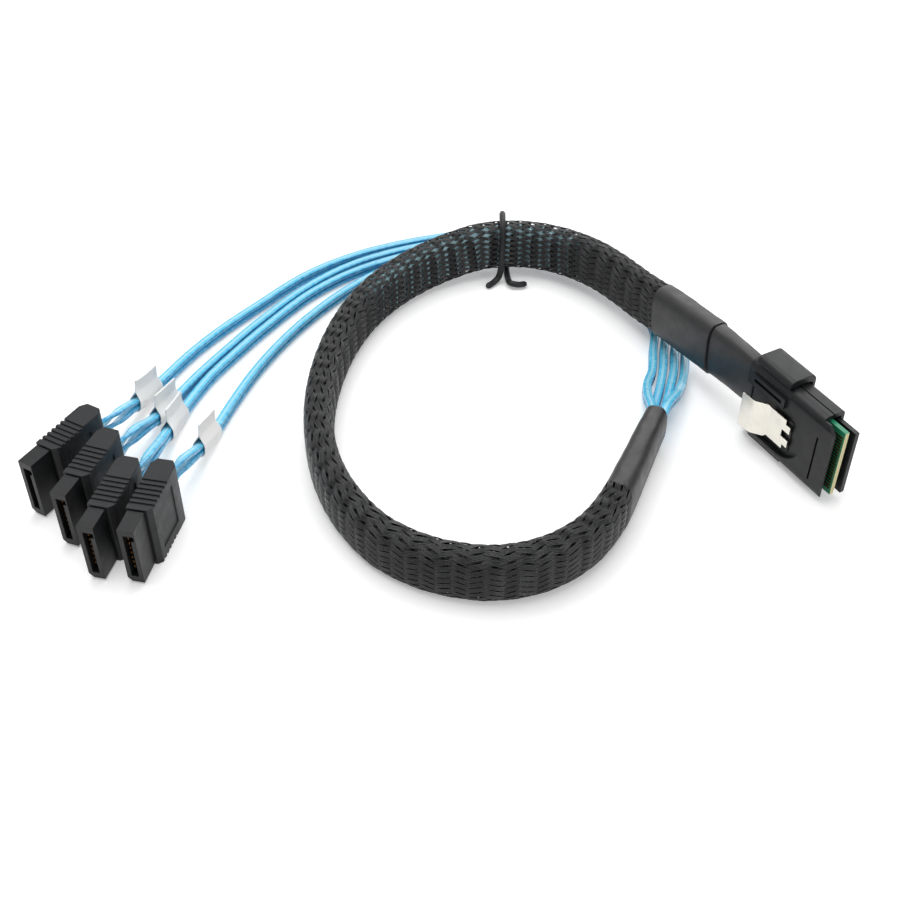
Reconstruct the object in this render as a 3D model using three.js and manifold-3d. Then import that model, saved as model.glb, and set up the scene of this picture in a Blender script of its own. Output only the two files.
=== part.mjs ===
// Breakout cable: one wide internal storage plug with a steel latch, a braided trunk lying in a loop,
// and eight flat twin-conductor ribbons that run in pairs to four narrow storage plugs.
// Units are millimetres, +Z is up. The origin is the middle of the face on which the wide plug stands,
// and everything lies on the plane z = 0.

import * as THREE from 'three';
import { mergeVertices } from 'three/addons/utils/BufferGeometryUtils.js';
import Module from 'manifold-3d';

const wasm = await Module();
wasm.setup();

// Clearances
const SEAT_GAP = 0.3;

// Wide plug. Its own x runs towards the mouth, y away from the latch, z along its width.
const HOST_TURN_DEG = -61;
const SHELL_LENGTH = 25.6;
const SHELL_THICKNESS = 6;
const SHELL_WIDTH = 19.4;
const SHELL_LATCH_CORNER_R = 2;
const SHELL_BACK_CORNER_R = 1;
const SHELL_SIDE_WALL = 1.1;
const SHELL_LATCH_WALL = 1.5;
const SHELL_BACK_WALL = 0.9;
const SHELL_REAR_WALL = 1.2;
const MOUTH_SETBACK = 3.4;
const LATCH_TONGUE_THICKNESS = 1;
const LATCH_TONGUE_WIDTH = 18.8;
const LATCH_TONGUE_CHAMFER = 1.6;
const BACK_TONGUE_THICKNESS = 1;
const BACK_TONGUE_WIDTH = 16;
const BACK_TONGUE_REACH = 2;
const BACK_TONGUE_INSET = 0.8;
const COVER_FLOOR = 0.6;
const COVER_ROOF = 1.6;
const COVER_BACK = 0.7;
const COVER_LENGTH = 10.5;
const COVER_FROM_REAR = 1.6;
const COVER_CORNER_R = 1.5;
const CARD_THICKNESS = 1;
const CARD_WIDTH = 16.6;
const CARD_REACH = 1.2;
const CARD_INSIDE = 14;
const CARD_DEPTH_FROM_LATCH_FACE = 2.7;
const FINGER_COUNT = 18;
const FINGER_PITCH = 0.8;
const FINGER_WIDTH = 0.46;
const FINGER_LENGTH = 5.2;
const FINGER_HEIGHT = 0.1;
const RECESS_DEPTH = 1;
const RECESS_RADIUS = 6.35;
const RECESS_FROM_FRONT = 13.6;
const RECESS_ABOVE_EDGE = 8.7;
const RIB_PROUD = 0.6;
const RIB_LENGTH = 10.4;
const RIB_HEIGHT = 2.4;
const RIB_SLOT = 0.8;
const RIB_ABOVE_EDGE = 14.6;
const SLIT_WIDTH = 0.5;
const SLIT_DEPTH = 0.4;
const SLIT_LENGTH = 11.4;
const SLIT_FROM_FRONT = 3.3;

// Steel latch
const STEEL = 0.35;
const LATCH_PAD_WIDTH = 8.6;
const LATCH_PLATE_WIDTH = 7.6;
const LATCH_PAD_RISE = 2.3;
const LATCH_PAD_LENGTH = 6.4;
const LATCH_PLATE_LENGTH = 4.9;
const LATCH_SEAT_GAP = 0.5;
const PRONG_LENGTH = 1.4;
const PRONG_WIDTH = 1.8;
const PRONG_SPACING = 3.6;
const PRONG_BOSS = 0.2;

// Narrow plugs. Each one's own x points out of its nose, z runs along its width.
const NOSE_LENGTH = 5.4;
const NOSE_THICKNESS = 3.4;
const NOSE_WIDTH = 13.9;
const NOSE_ABOVE_TABLE = 0.5;
const NOSE_CHAMFER = 0.9;
const ROOT_LENGTH = 3.2;
const ROOT_THICKNESS = 2.6;
const ROOT_WIDTH = 11.8;
const SLOT_WIDTH = 1.5;
const SLOT_LENGTH = 10.9;
const KEY_LENGTH = 1.2;
const KEY_REACH = 1.05;
const CONTACT_COUNT = 7;
const CONTACT_PITCH = 1.27;
const CONTACT_WIDTH = 0.6;
const CONTACT_THICKNESS = 0.3;
const CONTACT_LENGTH = 5.6;
const WAFER_LENGTH = 1.6;
const GRIP_LENGTH = 13.2;
const GRIP_THICKNESS = 5.2;
const GRIP_WIDTH = 14.8;
const GRIP_SIDE_SHIFT = 0.5;
const GRIP_REAR_BEVEL = 1.5;
const GRIP_FRONT_BEVEL = 0.9;
const GROOVE_COUNT = 6;
const GROOVE_PITCH = 1.3;
const GROOVE_WIDTH = 0.55;
const GROOVE_DEPTH = 0.4;
const PANEL_DEPTH = 0.25;
const PANEL_LENGTH = 7.6;
const PANEL_WIDTH = 9.8;
const CABLE_POCKET_DEPTH = 2;
const PLUGS = [
  { nose: [-156.4, -16.3], turnDeg: 61 },
  { nose: [-147.9, -25.0], turnDeg: 71.5 },
  { nose: [-140.8, -34.0], turnDeg: 76.5 },
  { nose: [-133.0, -35.0], turnDeg: 78.5 },
];

// Ribbons: two to a pair, one above the other, turned on edge where they enter a plug
const RIBBON_WIDTH = 2;
const RIBBON_THICKNESS = 1.1;
const RIBBON_LEVEL_PITCH = 1.4;
const RIBBON_EDGE_PITCH = 2.4;
const SPREAD_START = 18;
const SPREAD_END = 10;
const ROLL_START = 10;
const ROLL_END = 3;
const RIBBON_STEP = 5.5;

// Trunk: inner shrink, outer shrink, braided sleeve and breakout shrink, end to end on one route
const TRUNK_STEP = 7;
const SLEEVE_TALL = 12.4;
const SLEEVE_WIDE = 6.5;
const INNER_SHRINK = { start: 0, end: 15, tall: [12.2, 12.8], wide: [4.2, 5.2] };
const OUTER_SHRINK = { start: 15, end: 35, tall: [13.2, 12.9], wide: [6.2, 7] };
const SLEEVE_END = 268;
const BREAKOUT_TIP = { tall: 10.4, wide: 5.2 };

// Routes, each a list of [x, y, z]. The trunk runs from the wide plug round the loop to the breakout.
const TRUNK_ROUTE = [
  [-5.7, 10.3, 12.9], [-8.0, 14.5, 12.9], [-11.8, 21.3, 12.7], [-17.0, 30.4, 12.0], [-21.7, 39.4, 10.8],
  [-26.5, 47.4, 9.8], [-31.0, 54.8, 9.4], [-35.7, 61.2, 9.1], [-41.0, 66.5, 8.6], [-46.4, 70.0, 8.3],
  [-52.4, 72.0, 8.2], [-58.5, 72.3, 8.2], [-64.6, 71.2, 8.1], [-71.0, 69.0, 7.3], [-79.4, 63.8, 6.5],
  [-86.6, 56.5, 6.2], [-92.3, 47.5, 6.2], [-96.5, 37.0, 6.2], [-99.0, 26.4, 6.2], [-100.3, 15.3, 6.2],
  [-100.2, 4.8, 6.2], [-98.8, -4.8, 6.2], [-96.0, -13.8, 6.2], [-91.8, -21.9, 6.2], [-86.2, -29.1, 6.2],
  [-80.8, -33.2, 6.2], [-75.6, -35.8, 6.2], [-70.4, -37.3, 6.2], [-64.6, -38.0, 6.2], [-57.4, -36.9, 6.2],
  [-51.0, -34.0, 6.2], [-45.0, -29.0, 6.2], [-39.8, -21.4, 6.2], [-35.3, -11.6, 6.2], [-31.2, -1.8, 6.2],
  [-28.2, 5.1, 6.2],
];
// The pairs run from the breakout, under the trunk, behind it through the tie, and out to the plugs.
const PAIR_ROUTES = [
  [
    [-26.9, 5.1, 7.6], [-24.7, 11.0, 6.4], [-21.9, 16.4, 4.8], [-19.8, 22.2, 2.6], [-18.2, 28.4, 1.5],
    [-16.9, 36.2, 1.5], [-15.5, 45.2, 1.5], [-17.2, 54.2, 1.5], [-21.4, 62.2, 1.5], [-27.0, 69.6, 1.8],
    [-34.0, 76.2, 2.6], [-42.0, 81.0, 3.2], [-50.6, 83.6, 3.3], [-59.2, 84.2, 3.3], [-67.8, 84.0, 3.2],
    [-80.6, 82.4, 2.2], [-95.8, 77.0, 1.5], [-108.1, 67.9, 1.5], [-119.4, 54.4, 1.5], [-127.2, 44.2, 1.5],
    [-132.9, 35.2, 1.5], [-137.2, 26.4, 1.7], [-140.4, 18.0, 2.9], [-142.8, 11.6, 4.8], [-145.1, 4.2, 7.0],
    [-147.5, -0.2, 7.4],
  ],
  [
    [-26.9, 5.1, 4.8], [-25.4, 11.2, 3.6], [-23.9, 16.4, 2.1], [-22.2, 22.6, 1.5], [-20.6, 28.6, 1.5],
    [-19.4, 36.4, 1.5], [-18.0, 45.0, 1.5], [-19.6, 53.2, 1.5], [-23.6, 60.8, 1.5], [-28.8, 67.6, 1.8],
    [-35.4, 73.8, 2.6], [-42.8, 78.5, 3.2], [-50.9, 81.1, 3.3], [-59.2, 81.7, 3.3], [-67.2, 81.3, 3.2],
    [-80.2, 79.6, 2.2], [-95.4, 73.4, 1.5], [-107.4, 62.6, 1.5], [-118.4, 47.2, 1.5], [-124.6, 36.8, 1.5],
    [-129.8, 27.4, 1.5], [-133.8, 18.5, 1.8], [-136.8, 9.8, 3.4], [-138.9, 2.2, 6.4], [-140.4, -2.8, 7.4],
    [-142.0, -7.6, 7.4],
  ],
  [
    [-29.1, 6.1, 4.8], [-27.8, 10.4, 3.6], [-26.5, 15.8, 2.1], [-24.6, 22.4, 1.5], [-23.1, 28.8, 1.5],
    [-21.9, 36.6, 1.5], [-20.6, 44.8, 1.5], [-22.0, 52.2, 1.5], [-25.8, 59.3, 1.5], [-30.6, 65.8, 1.8],
    [-36.8, 71.8, 2.6], [-43.6, 76.2, 3.2], [-51.2, 78.7, 3.3], [-59.1, 79.3, 3.3], [-66.6, 78.8, 3.2],
    [-79.8, 76.8, 2.2], [-94.6, 70.4, 1.5], [-106.2, 60.2, 1.5], [-116.4, 45.6, 1.5], [-122.2, 35.8, 1.5],
    [-127.2, 26.4, 1.5], [-130.6, 17.4, 1.5], [-132.8, 8.4, 2.5], [-134.0, -1.2, 5.2], [-135.2, -10.6, 7.4],
    [-136.5, -16.1, 7.4],
  ],
  [
    [-29.1, 6.1, 7.6], [-28.4, 10.4, 6.4], [-28.4, 15.6, 4.7], [-27.6, 22.2, 2.8], [-25.5, 29.0, 1.5],
    [-24.4, 36.8, 1.5], [-23.2, 44.4, 1.5], [-24.6, 51.4, 1.5], [-28.0, 57.8, 1.5], [-32.5, 64.0, 1.8],
    [-38.2, 69.8, 2.6], [-44.5, 73.9, 3.2], [-51.5, 76.3, 3.3], [-59.0, 76.9, 3.3], [-66.0, 76.3, 3.2],
    [-78.0, 74.2, 2.2], [-89.4, 69.2, 1.5], [-98.6, 60.2, 1.5], [-107.0, 48.6, 1.5], [-113.0, 37.8, 1.5],
    [-117.4, 27.6, 1.5], [-120.8, 17.4, 1.5], [-123.4, 8.0, 1.8], [-125.6, -1.4, 4.4], [-127.7, -9.8, 7.3],
    [-129.3, -17.0, 7.4],
  ],
];

// Twist tie round the trunk and the ribbons, and the paper flags on the pairs
const TIE_DIAMETER = 1.5;
const TIE_ROUTE = [
  [-62.8, 64.4, 0.8], [-61.4, 65.8, 0.8], [-60.0, 67.0, 1.6], [-59.4, 67.4, 3.6], [-59.2, 67.6, 7.6],
  [-59.1, 67.9, 12.4], [-59.1, 69.3, 15.1], [-59.1, 72.3, 15.8], [-59.0, 75.6, 15.0], [-58.8, 78.6, 12.2],
  [-58.6, 82.2, 8.8], [-58.4, 85.4, 6.6], [-58.2, 86.6, 4.0], [-58.0, 85.4, 1.2], [-57.9, 82.0, 0.8],
  [-57.8, 76.0, 0.8], [-57.7, 70.6, 0.8], [-57.4, 67.2, 1.0], [-56.9, 65.0, 1.4], [-55.0, 64.6, 1.2],
  [-53.0, 65.4, 0.9],
];
const FLAG_LENGTH = 9.4;
const FLAG_TALL = 7.2;
const FLAG_WALL = 0.2;
const FLAG_FROM_PLUG = [21, 24, 27, 22];

// Finishes
const finish = (color, roughness, metalness = 0) =>
  new THREE.MeshStandardMaterial({ color, roughness, metalness });
const BLACK_NYLON = finish(0x2b2c2e, 0.5);
const BLACK_PVC = finish(0x303133, 0.62);
const BRAID = finish(0x1b1c1e, 0.7);
const SHRINK = finish(0x232425, 0.6);
const BLUE_JACKET = finish(0x3fb8e6, 0.35);
const WHITE_PAPER = finish(0xf3f3f0, 0.8);
const SPRING_STEEL = finish(0xc9c5bc, 0.3, 1);
const CARD_LAMINATE = finish(0x2f7d57, 0.5);
const GOLD = finish(0xb8863b, 0.35, 1);
const NATURAL_RESIN = finish(0xd9d4c4, 0.6);

// Geometry helpers
const toManifold = (geometry) => {
  const bare = geometry.clone();
  bare.deleteAttribute('normal');
  bare.deleteAttribute('uv');
  const merged = mergeVertices(bare, 1e-4);
  const triVerts = Uint32Array.from(merged.index.array);
  const vertProperties = Float32Array.from(merged.attributes.position.array);
  return new wasm.Manifold(new wasm.Mesh({ numProp: 3, vertProperties, triVerts }));
};

const toGeometry = (manifold) => {
  const mesh = manifold.getMesh();
  const geometry = new THREE.BufferGeometry();
  geometry.setAttribute('position', new THREE.BufferAttribute(Float32Array.from(mesh.vertProperties), 3));
  geometry.setIndex(new THREE.BufferAttribute(Uint32Array.from(mesh.triVerts), 1));
  const flat = geometry.toNonIndexed();
  flat.computeVertexNormals();
  return flat;
};

const cutFrom = (base, ...tools) => tools.reduce((solid, tool) => solid.subtract(tool), base);
const joinAll = (first, ...rest) => rest.reduce((solid, tool) => solid.add(tool), first);

const block = ([x0, x1], [y0, y1], [z0, z1]) => {
  const box = new THREE.BoxGeometry(x1 - x0, y1 - y0, z1 - z0);
  box.translate((x0 + x1) / 2, (y0 + y1) / 2, (z0 + z1) / 2);
  return toManifold(box);
};

const shapeOf = (points) => new THREE.Shape(points.map(([a, b]) => new THREE.Vector2(a, b)));

// A prism whose outline lies in x and y and which runs along z
const prismAlongZ = (shape, [z0, z1], curveSegments = 6) => {
  const prism = new THREE.ExtrudeGeometry(shape, { depth: z1 - z0, bevelEnabled: false, curveSegments });
  prism.translate(0, 0, z0);
  return toManifold(prism);
};

// A prism whose outline lies in x and z and which runs along y
const prismAlongY = (shape, [y0, y1], curveSegments = 6) => {
  const prism = new THREE.ExtrudeGeometry(shape, { depth: y1 - y0, bevelEnabled: false, curveSegments });
  prism.rotateX(Math.PI / 2);
  prism.translate(0, y1, 0);
  return toManifold(prism);
};

// A prism whose outline lies in y and z and which runs along x
const prismAlongX = (shape, [x0, x1], curveSegments = 6) => {
  const prism = new THREE.ExtrudeGeometry(shape, { depth: x1 - x0, bevelEnabled: false, curveSegments });
  prism.rotateZ(Math.PI / 2);
  prism.rotateY(Math.PI / 2);
  prism.translate(x0, 0, 0);
  return toManifold(prism);
};

// A rectangle with one radius on its low-a side and another on its high-a side
const roundedRect = ([a0, a1], [b0, b1], lowRadius, highRadius = lowRadius) => {
  const shape = new THREE.Shape();
  shape.moveTo(a0 + lowRadius, b0);
  shape.lineTo(a1 - highRadius, b0);
  shape.absarc(a1 - highRadius, b0 + highRadius, highRadius, -Math.PI / 2, 0, false);
  shape.lineTo(a1, b1 - highRadius);
  shape.absarc(a1 - highRadius, b1 - highRadius, highRadius, 0, Math.PI / 2, false);
  shape.lineTo(a0 + lowRadius, b1);
  shape.absarc(a0 + lowRadius, b1 - lowRadius, lowRadius, Math.PI / 2, Math.PI, false);
  shape.lineTo(a0, b0 + lowRadius);
  shape.absarc(a0 + lowRadius, b0 + lowRadius, lowRadius, Math.PI, Math.PI * 1.5, false);
  return shape;
};

const makeMesh = (name, geometry, material) => {
  const mesh = new THREE.Mesh(geometry, material);
  mesh.name = name;
  return mesh;
};

const solidMesh = (name, manifold, material) => makeMesh(name, toGeometry(manifold), material);

const smooth = (value, from, to) => THREE.MathUtils.smoothstep(value, from, to);
const lerp = THREE.MathUtils.lerp;

// A route that keeps its section upright. sectionAt gives the height, width and roll of the section
// at a distance from the start, and the unit section is stretched by them.
class CordPath extends THREE.CatmullRomCurve3 {
  constructor(points, sectionAt, window = null) {
    super(points.map((p) => new THREE.Vector3(...p)), false, 'centripetal');
    this.arcLengthDivisions = 1200;
    this.total = this.getLength();
    this.window = window ?? [0, this.total];
    this.sectionAt = sectionAt;
  }

  distanceAt(share) {
    return lerp(this.window[0], this.window[1], share);
  }

  getSpacedPoints(steps) {
    return Array.from({ length: steps + 1 }, (_, i) => this.getPointAt(this.distanceAt(i / steps) / this.total));
  }

  computeFrenetFrames(steps) {
    const frames = { tangents: [], normals: [], binormals: [] };
    for (let i = 0; i <= steps; i += 1) {
      const distance = this.distanceAt(i / steps);
      const tangent = this.getTangentAt(distance / this.total).normalize();
      const side = new THREE.Vector3().crossVectors(tangent, new THREE.Vector3(0, 0, 1)).normalize();
      const up = new THREE.Vector3().crossVectors(side, tangent).normalize();
      const { tall, wide, roll = 0 } = this.sectionAt(distance, this.total);
      up.applyAxisAngle(tangent, roll);
      side.applyAxisAngle(tangent, roll);
      frames.tangents.push(tangent);
      frames.normals.push(up.multiplyScalar(tall));
      frames.binormals.push(side.multiplyScalar(wide));
    }
    return frames;
  }
}

// A closed outline of unit height and width, between an ellipse and a rectangle
const unitSection = (sides, roundness) => {
  const raw = Array.from({ length: sides }, (_, i) => {
    const angle = ((i + 0.5) * 2 * Math.PI) / sides;
    const bend = (v) => Math.sign(v) * Math.abs(v) ** roundness;
    return [bend(Math.cos(angle)), bend(Math.sin(angle))];
  });
  const reach = Math.max(...raw.map(([a]) => Math.abs(a)));
  return shapeOf(raw.map(([a, b]) => [(a / reach) * 0.5, (b / reach) * 0.5]));
};

const sweep = (section, path, step) => {
  const steps = Math.round((path.window[1] - path.window[0]) / step);
  const tube = new THREE.ExtrudeGeometry(section, { steps, extrudePath: path, bevelEnabled: false });
  return toManifold(tube);
};

// Wide plug
const shellHalf = SHELL_THICKNESS / 2;
const shellBottom = COVER_FLOOR + SEAT_GAP;
const shellTop = shellBottom + SHELL_WIDTH;
const shellMiddle = (shellBottom + shellTop) / 2;
const shellFront = SHELL_LENGTH / 2;
const shellRear = -SHELL_LENGTH / 2;
const mouthX = shellFront - MOUTH_SETBACK;
const latchFace = -shellHalf;
const cavityX = [shellRear + SHELL_REAR_WALL, mouthX + 1];
const cavityY = [latchFace + SHELL_LATCH_WALL, shellHalf - SHELL_BACK_WALL];
const cavityZ = [shellBottom + SHELL_SIDE_WALL, shellTop - SHELL_SIDE_WALL];
const cardY = [latchFace + CARD_DEPTH_FROM_LATCH_FACE - CARD_THICKNESS / 2,
  latchFace + CARD_DEPTH_FROM_LATCH_FACE + CARD_THICKNESS / 2];
const cardX = [shellFront - CARD_INSIDE, shellFront + CARD_REACH];
const cableInlet = {
  y: INNER_SHRINK.wide[0] / 2 + SEAT_GAP,
  z: [TRUNK_ROUTE[0][2] - INNER_SHRINK.tall[0] / 2 - SEAT_GAP,
    TRUNK_ROUTE[0][2] + INNER_SHRINK.tall[0] / 2 + SEAT_GAP],
};

const shellSolid = () => {
  const outline = roundedRect([latchFace, shellHalf], [shellBottom, shellTop],
    SHELL_LATCH_CORNER_R, SHELL_BACK_CORNER_R);
  const body = prismAlongX(outline, [shellRear, mouthX]);
  const cavity = block(cavityX, cavityY, cavityZ);
  const inlet = block([shellRear - 1, cavityX[0] + 0.1], [-cableInlet.y, cableInlet.y], cableInlet.z);
  return cutFrom(body, cavity, inlet);
};

const recessX = shellFront - RECESS_FROM_FRONT;
const recessZ = shellBottom + RECESS_ABOVE_EDGE;

const latchShell = () => {
  const half = shellSolid().intersect(
    block([-100, 100], [-100, -SEAT_GAP / 2], [-100, 100]));
  const tongueZ = [shellBottom, shellBottom + LATCH_TONGUE_WIDTH];
  const tongueX = [mouthX - SHELL_LATCH_CORNER_R, shellFront];
  const tongue = prismAlongY(shapeOf([
    [tongueX[0], tongueZ[0]], [tongueX[1], tongueZ[0]], [tongueX[1], tongueZ[1] - LATCH_TONGUE_CHAMFER],
    [tongueX[1] - LATCH_TONGUE_CHAMFER, tongueZ[1]], [tongueX[0], tongueZ[1]],
  ]), [latchFace, latchFace + LATCH_TONGUE_THICKNESS]);
  const edge = prismAlongX(roundedRect([latchFace, shellHalf], [shellBottom, shellTop],
    SHELL_LATCH_CORNER_R, SHELL_BACK_CORNER_R), [tongueX[0], tongueX[1]]);
  const floor = [latchFace - 1, latchFace + RECESS_DEPTH];
  const dish = prismAlongY(new THREE.Shape().absarc(recessX, recessZ, RECESS_RADIUS, 0, Math.PI * 2, false),
    floor, 16);
  const channel = block([shellRear - 1, recessX], floor, [recessZ - RECESS_RADIUS, recessZ + RECESS_RADIUS - 1.5]);
  const slitX = shellFront - SLIT_FROM_FRONT;
  const slitZ = [shellMiddle - 1 - SLIT_LENGTH / 2, shellMiddle - 1 + SLIT_LENGTH / 2];
  const slit = block([slitX - SLIT_WIDTH, slitX], [latchFace - 1, latchFace + SLIT_DEPTH], slitZ);
  const boss = block([latchSeat.tipX - PRONG_LENGTH, latchSeat.tipX],
    [latchFace + RECESS_DEPTH - PRONG_BOSS, latchFace + RECESS_DEPTH + 0.2],
    [latchSeat.z - LATCH_PLATE_WIDTH / 2, latchSeat.z + LATCH_PLATE_WIDTH / 2]);
  const ribX = [recessX - RIB_LENGTH, recessX];
  const ribZ = shellBottom + RIB_ABOVE_EDGE;
  const rib = block(ribX, [latchFace - RIB_PROUD, latchFace + 0.2], [ribZ, ribZ + RIB_HEIGHT]);
  const ribSlot = block([ribX[0] + 1, ribX[1] - 1], [latchFace - RIB_PROUD - 1, latchFace],
    [ribZ + (RIB_HEIGHT - RIB_SLOT) / 2, ribZ + (RIB_HEIGHT + RIB_SLOT) / 2]);
  return joinAll(cutFrom(half.add(tongue.intersect(edge)), dish, channel, slit), boss, cutFrom(rib, ribSlot));
};

const backShell = () => {
  const half = shellSolid().intersect(block([-100, 100], [SEAT_GAP / 2, 100], [-100, 100]));
  const tongueY = shellHalf - BACK_TONGUE_INSET;
  const tongue = block([mouthX - 3, shellFront + BACK_TONGUE_REACH], [tongueY - BACK_TONGUE_THICKNESS, tongueY],
    [shellMiddle - BACK_TONGUE_WIDTH / 2, shellMiddle + BACK_TONGUE_WIDTH / 2]);
  return half.add(tongue);
};

const cover = () => {
  const x = [shellRear + COVER_FROM_REAR, shellRear + COVER_FROM_REAR + COVER_LENGTH];
  const outside = roundedRect([latchFace, shellHalf + SEAT_GAP + COVER_BACK],
    [0, shellTop + SEAT_GAP + COVER_ROOF], COVER_CORNER_R, SHELL_BACK_CORNER_R + COVER_BACK);
  const inside = roundedRect([latchFace - 10, shellHalf + SEAT_GAP],
    [shellBottom - SEAT_GAP, shellTop + SEAT_GAP], SHELL_LATCH_CORNER_R, SHELL_BACK_CORNER_R);
  const floorEdge = block([x[0] - 1, x[1] + 1], [latchFace - 1, latchFace + COVER_CORNER_R], [-1, shellBottom]);
  return cutFrom(prismAlongX(outside, x), prismAlongX(inside, [x[0] - 1, x[1] + 1]), floorEdge);
};

const paddleCard = () => {
  const cardZ = [shellMiddle - CARD_WIDTH / 2, shellMiddle + CARD_WIDTH / 2];
  const board = block(cardX, cardY, cardZ);
  const first = shellMiddle - ((FINGER_COUNT - 1) * FINGER_PITCH) / 2;
  const fingers = Array.from({ length: FINGER_COUNT }, (_, i) => {
    const z = first + i * FINGER_PITCH;
    return block([cardX[1] - 0.4 - FINGER_LENGTH, cardX[1] - 0.4],
      [cardY[0] - FINGER_HEIGHT, cardY[1] + FINGER_HEIGHT], [z - FINGER_WIDTH / 2, z + FINGER_WIDTH / 2]);
  });
  return joinAll(board, ...fingers);
};

const wireBlock = () => block(
  [cavityX[0] + SEAT_GAP, cardX[0] - SEAT_GAP],
  [cavityY[0] + SEAT_GAP, cavityY[1] - SEAT_GAP],
  [cavityZ[0] + SEAT_GAP, cavityZ[1] - SEAT_GAP]);

// Latch: a strip bent up from the plate into a thumb pad, hinged at its two prongs
const latchSeat = {
  tipX: recessX + 2.4,
  y: latchFace + RECESS_DEPTH - LATCH_SEAT_GAP,
  z: recessZ - 0.5,
};
const latch = () => {
  const back = latchSeat.y;
  const plateEnd = latchSeat.tipX - PRONG_LENGTH - LATCH_PLATE_LENGTH;
  const padEnd = plateEnd - LATCH_PAD_LENGTH;
  const line = [
    [latchSeat.tipX, back], [plateEnd, back], [plateEnd - 2.6, back - LATCH_PAD_RISE + 0.3],
    [plateEnd - 3.4, back - LATCH_PAD_RISE], [padEnd, back - LATCH_PAD_RISE - 0.2],
  ];
  const strip = prismAlongZ(shapeOf([
    ...line, ...line.map(([x, y]) => [x, y - STEEL]).reverse(),
  ]), [latchSeat.z - LATCH_PAD_WIDTH / 2, latchSeat.z + LATCH_PAD_WIDTH / 2]);
  const pad = LATCH_PAD_WIDTH / 2;
  const plate = LATCH_PLATE_WIDTH / 2;
  const prong = [PRONG_SPACING / 2 - PRONG_WIDTH / 2, PRONG_SPACING / 2 + PRONG_WIDTH / 2];
  const rootX = latchSeat.tipX - PRONG_LENGTH;
  const outline = [
    [padEnd - 1, pad], [plateEnd - 0.5, pad], [plateEnd, plate], [rootX, plate], [rootX, prong[1]],
    [latchSeat.tipX + 1, prong[1]], [latchSeat.tipX + 1, prong[0]], [rootX - 0.8, prong[0]],
  ];
  const mirrored = outline.map(([x, z]) => [x, -z]).reverse();
  const blank = prismAlongY(shapeOf([...outline, ...mirrored].map(([x, z]) => [x, z + latchSeat.z])), [-30, 30]);
  return strip.intersect(blank);
};

// Narrow plugs
const noseZ = [NOSE_ABOVE_TABLE, NOSE_ABOVE_TABLE + NOSE_WIDTH];
const noseMiddle = (noseZ[0] + noseZ[1]) / 2;
const rootX = [-NOSE_LENGTH - ROOT_LENGTH, -NOSE_LENGTH];
const slotX = [rootX[0] - 1, 1];
const slotY = [-SLOT_WIDTH / 2, SLOT_WIDTH / 2];
const slotZ = [noseMiddle - SLOT_LENGTH / 2, noseMiddle + SLOT_LENGTH / 2];
const gripRear = -NOSE_LENGTH - GRIP_LENGTH - GRIP_REAR_BEVEL;
const gripY = [GRIP_SIDE_SHIFT - GRIP_THICKNESS / 2, GRIP_SIDE_SHIFT + GRIP_THICKNESS / 2];

const insulator = () => {
  const front = prismAlongX(shapeOf([
    [-NOSE_THICKNESS / 2, noseZ[0] + NOSE_CHAMFER], [-NOSE_THICKNESS / 2 + NOSE_CHAMFER, noseZ[0]],
    [NOSE_THICKNESS / 2, noseZ[0]], [NOSE_THICKNESS / 2, noseZ[1]], [-NOSE_THICKNESS / 2, noseZ[1]],
  ]), [-NOSE_LENGTH, 0]);
  const root = block([rootX[0], -NOSE_LENGTH + 0.5], [-ROOT_THICKNESS / 2, ROOT_THICKNESS / 2],
    [noseMiddle - ROOT_WIDTH / 2, noseMiddle + ROOT_WIDTH / 2]);
  const slot = block(slotX, slotY, slotZ);
  const key = block([-NOSE_LENGTH, 1], [slotY[0], slotY[1] + KEY_REACH - 0.4],
    [slotZ[1] - KEY_LENGTH, slotZ[1]]);
  return cutFrom(front.add(root), slot, key);
};

// Seven contacts on the strip that closes the back of the slot
const contactWafer = () => {
  const x = [rootX[0] + SEAT_GAP, rootX[0] + SEAT_GAP + WAFER_LENGTH];
  const strip = block(x, [slotY[0] + SEAT_GAP, slotY[1] - SEAT_GAP], [slotZ[0] + SEAT_GAP, slotZ[1] - SEAT_GAP]);
  const first = noseMiddle - ((CONTACT_COUNT - 1) * CONTACT_PITCH) / 2;
  const blades = Array.from({ length: CONTACT_COUNT }, (_, i) => {
    const z = first + i * CONTACT_PITCH;
    return block([x[1] - 0.2, x[1] + CONTACT_LENGTH],
      [slotY[0] + SEAT_GAP, slotY[0] + SEAT_GAP + CONTACT_THICKNESS],
      [z - CONTACT_WIDTH / 2, z + CONTACT_WIDTH / 2]);
  });
  return joinAll(strip, ...blades);
};

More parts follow.
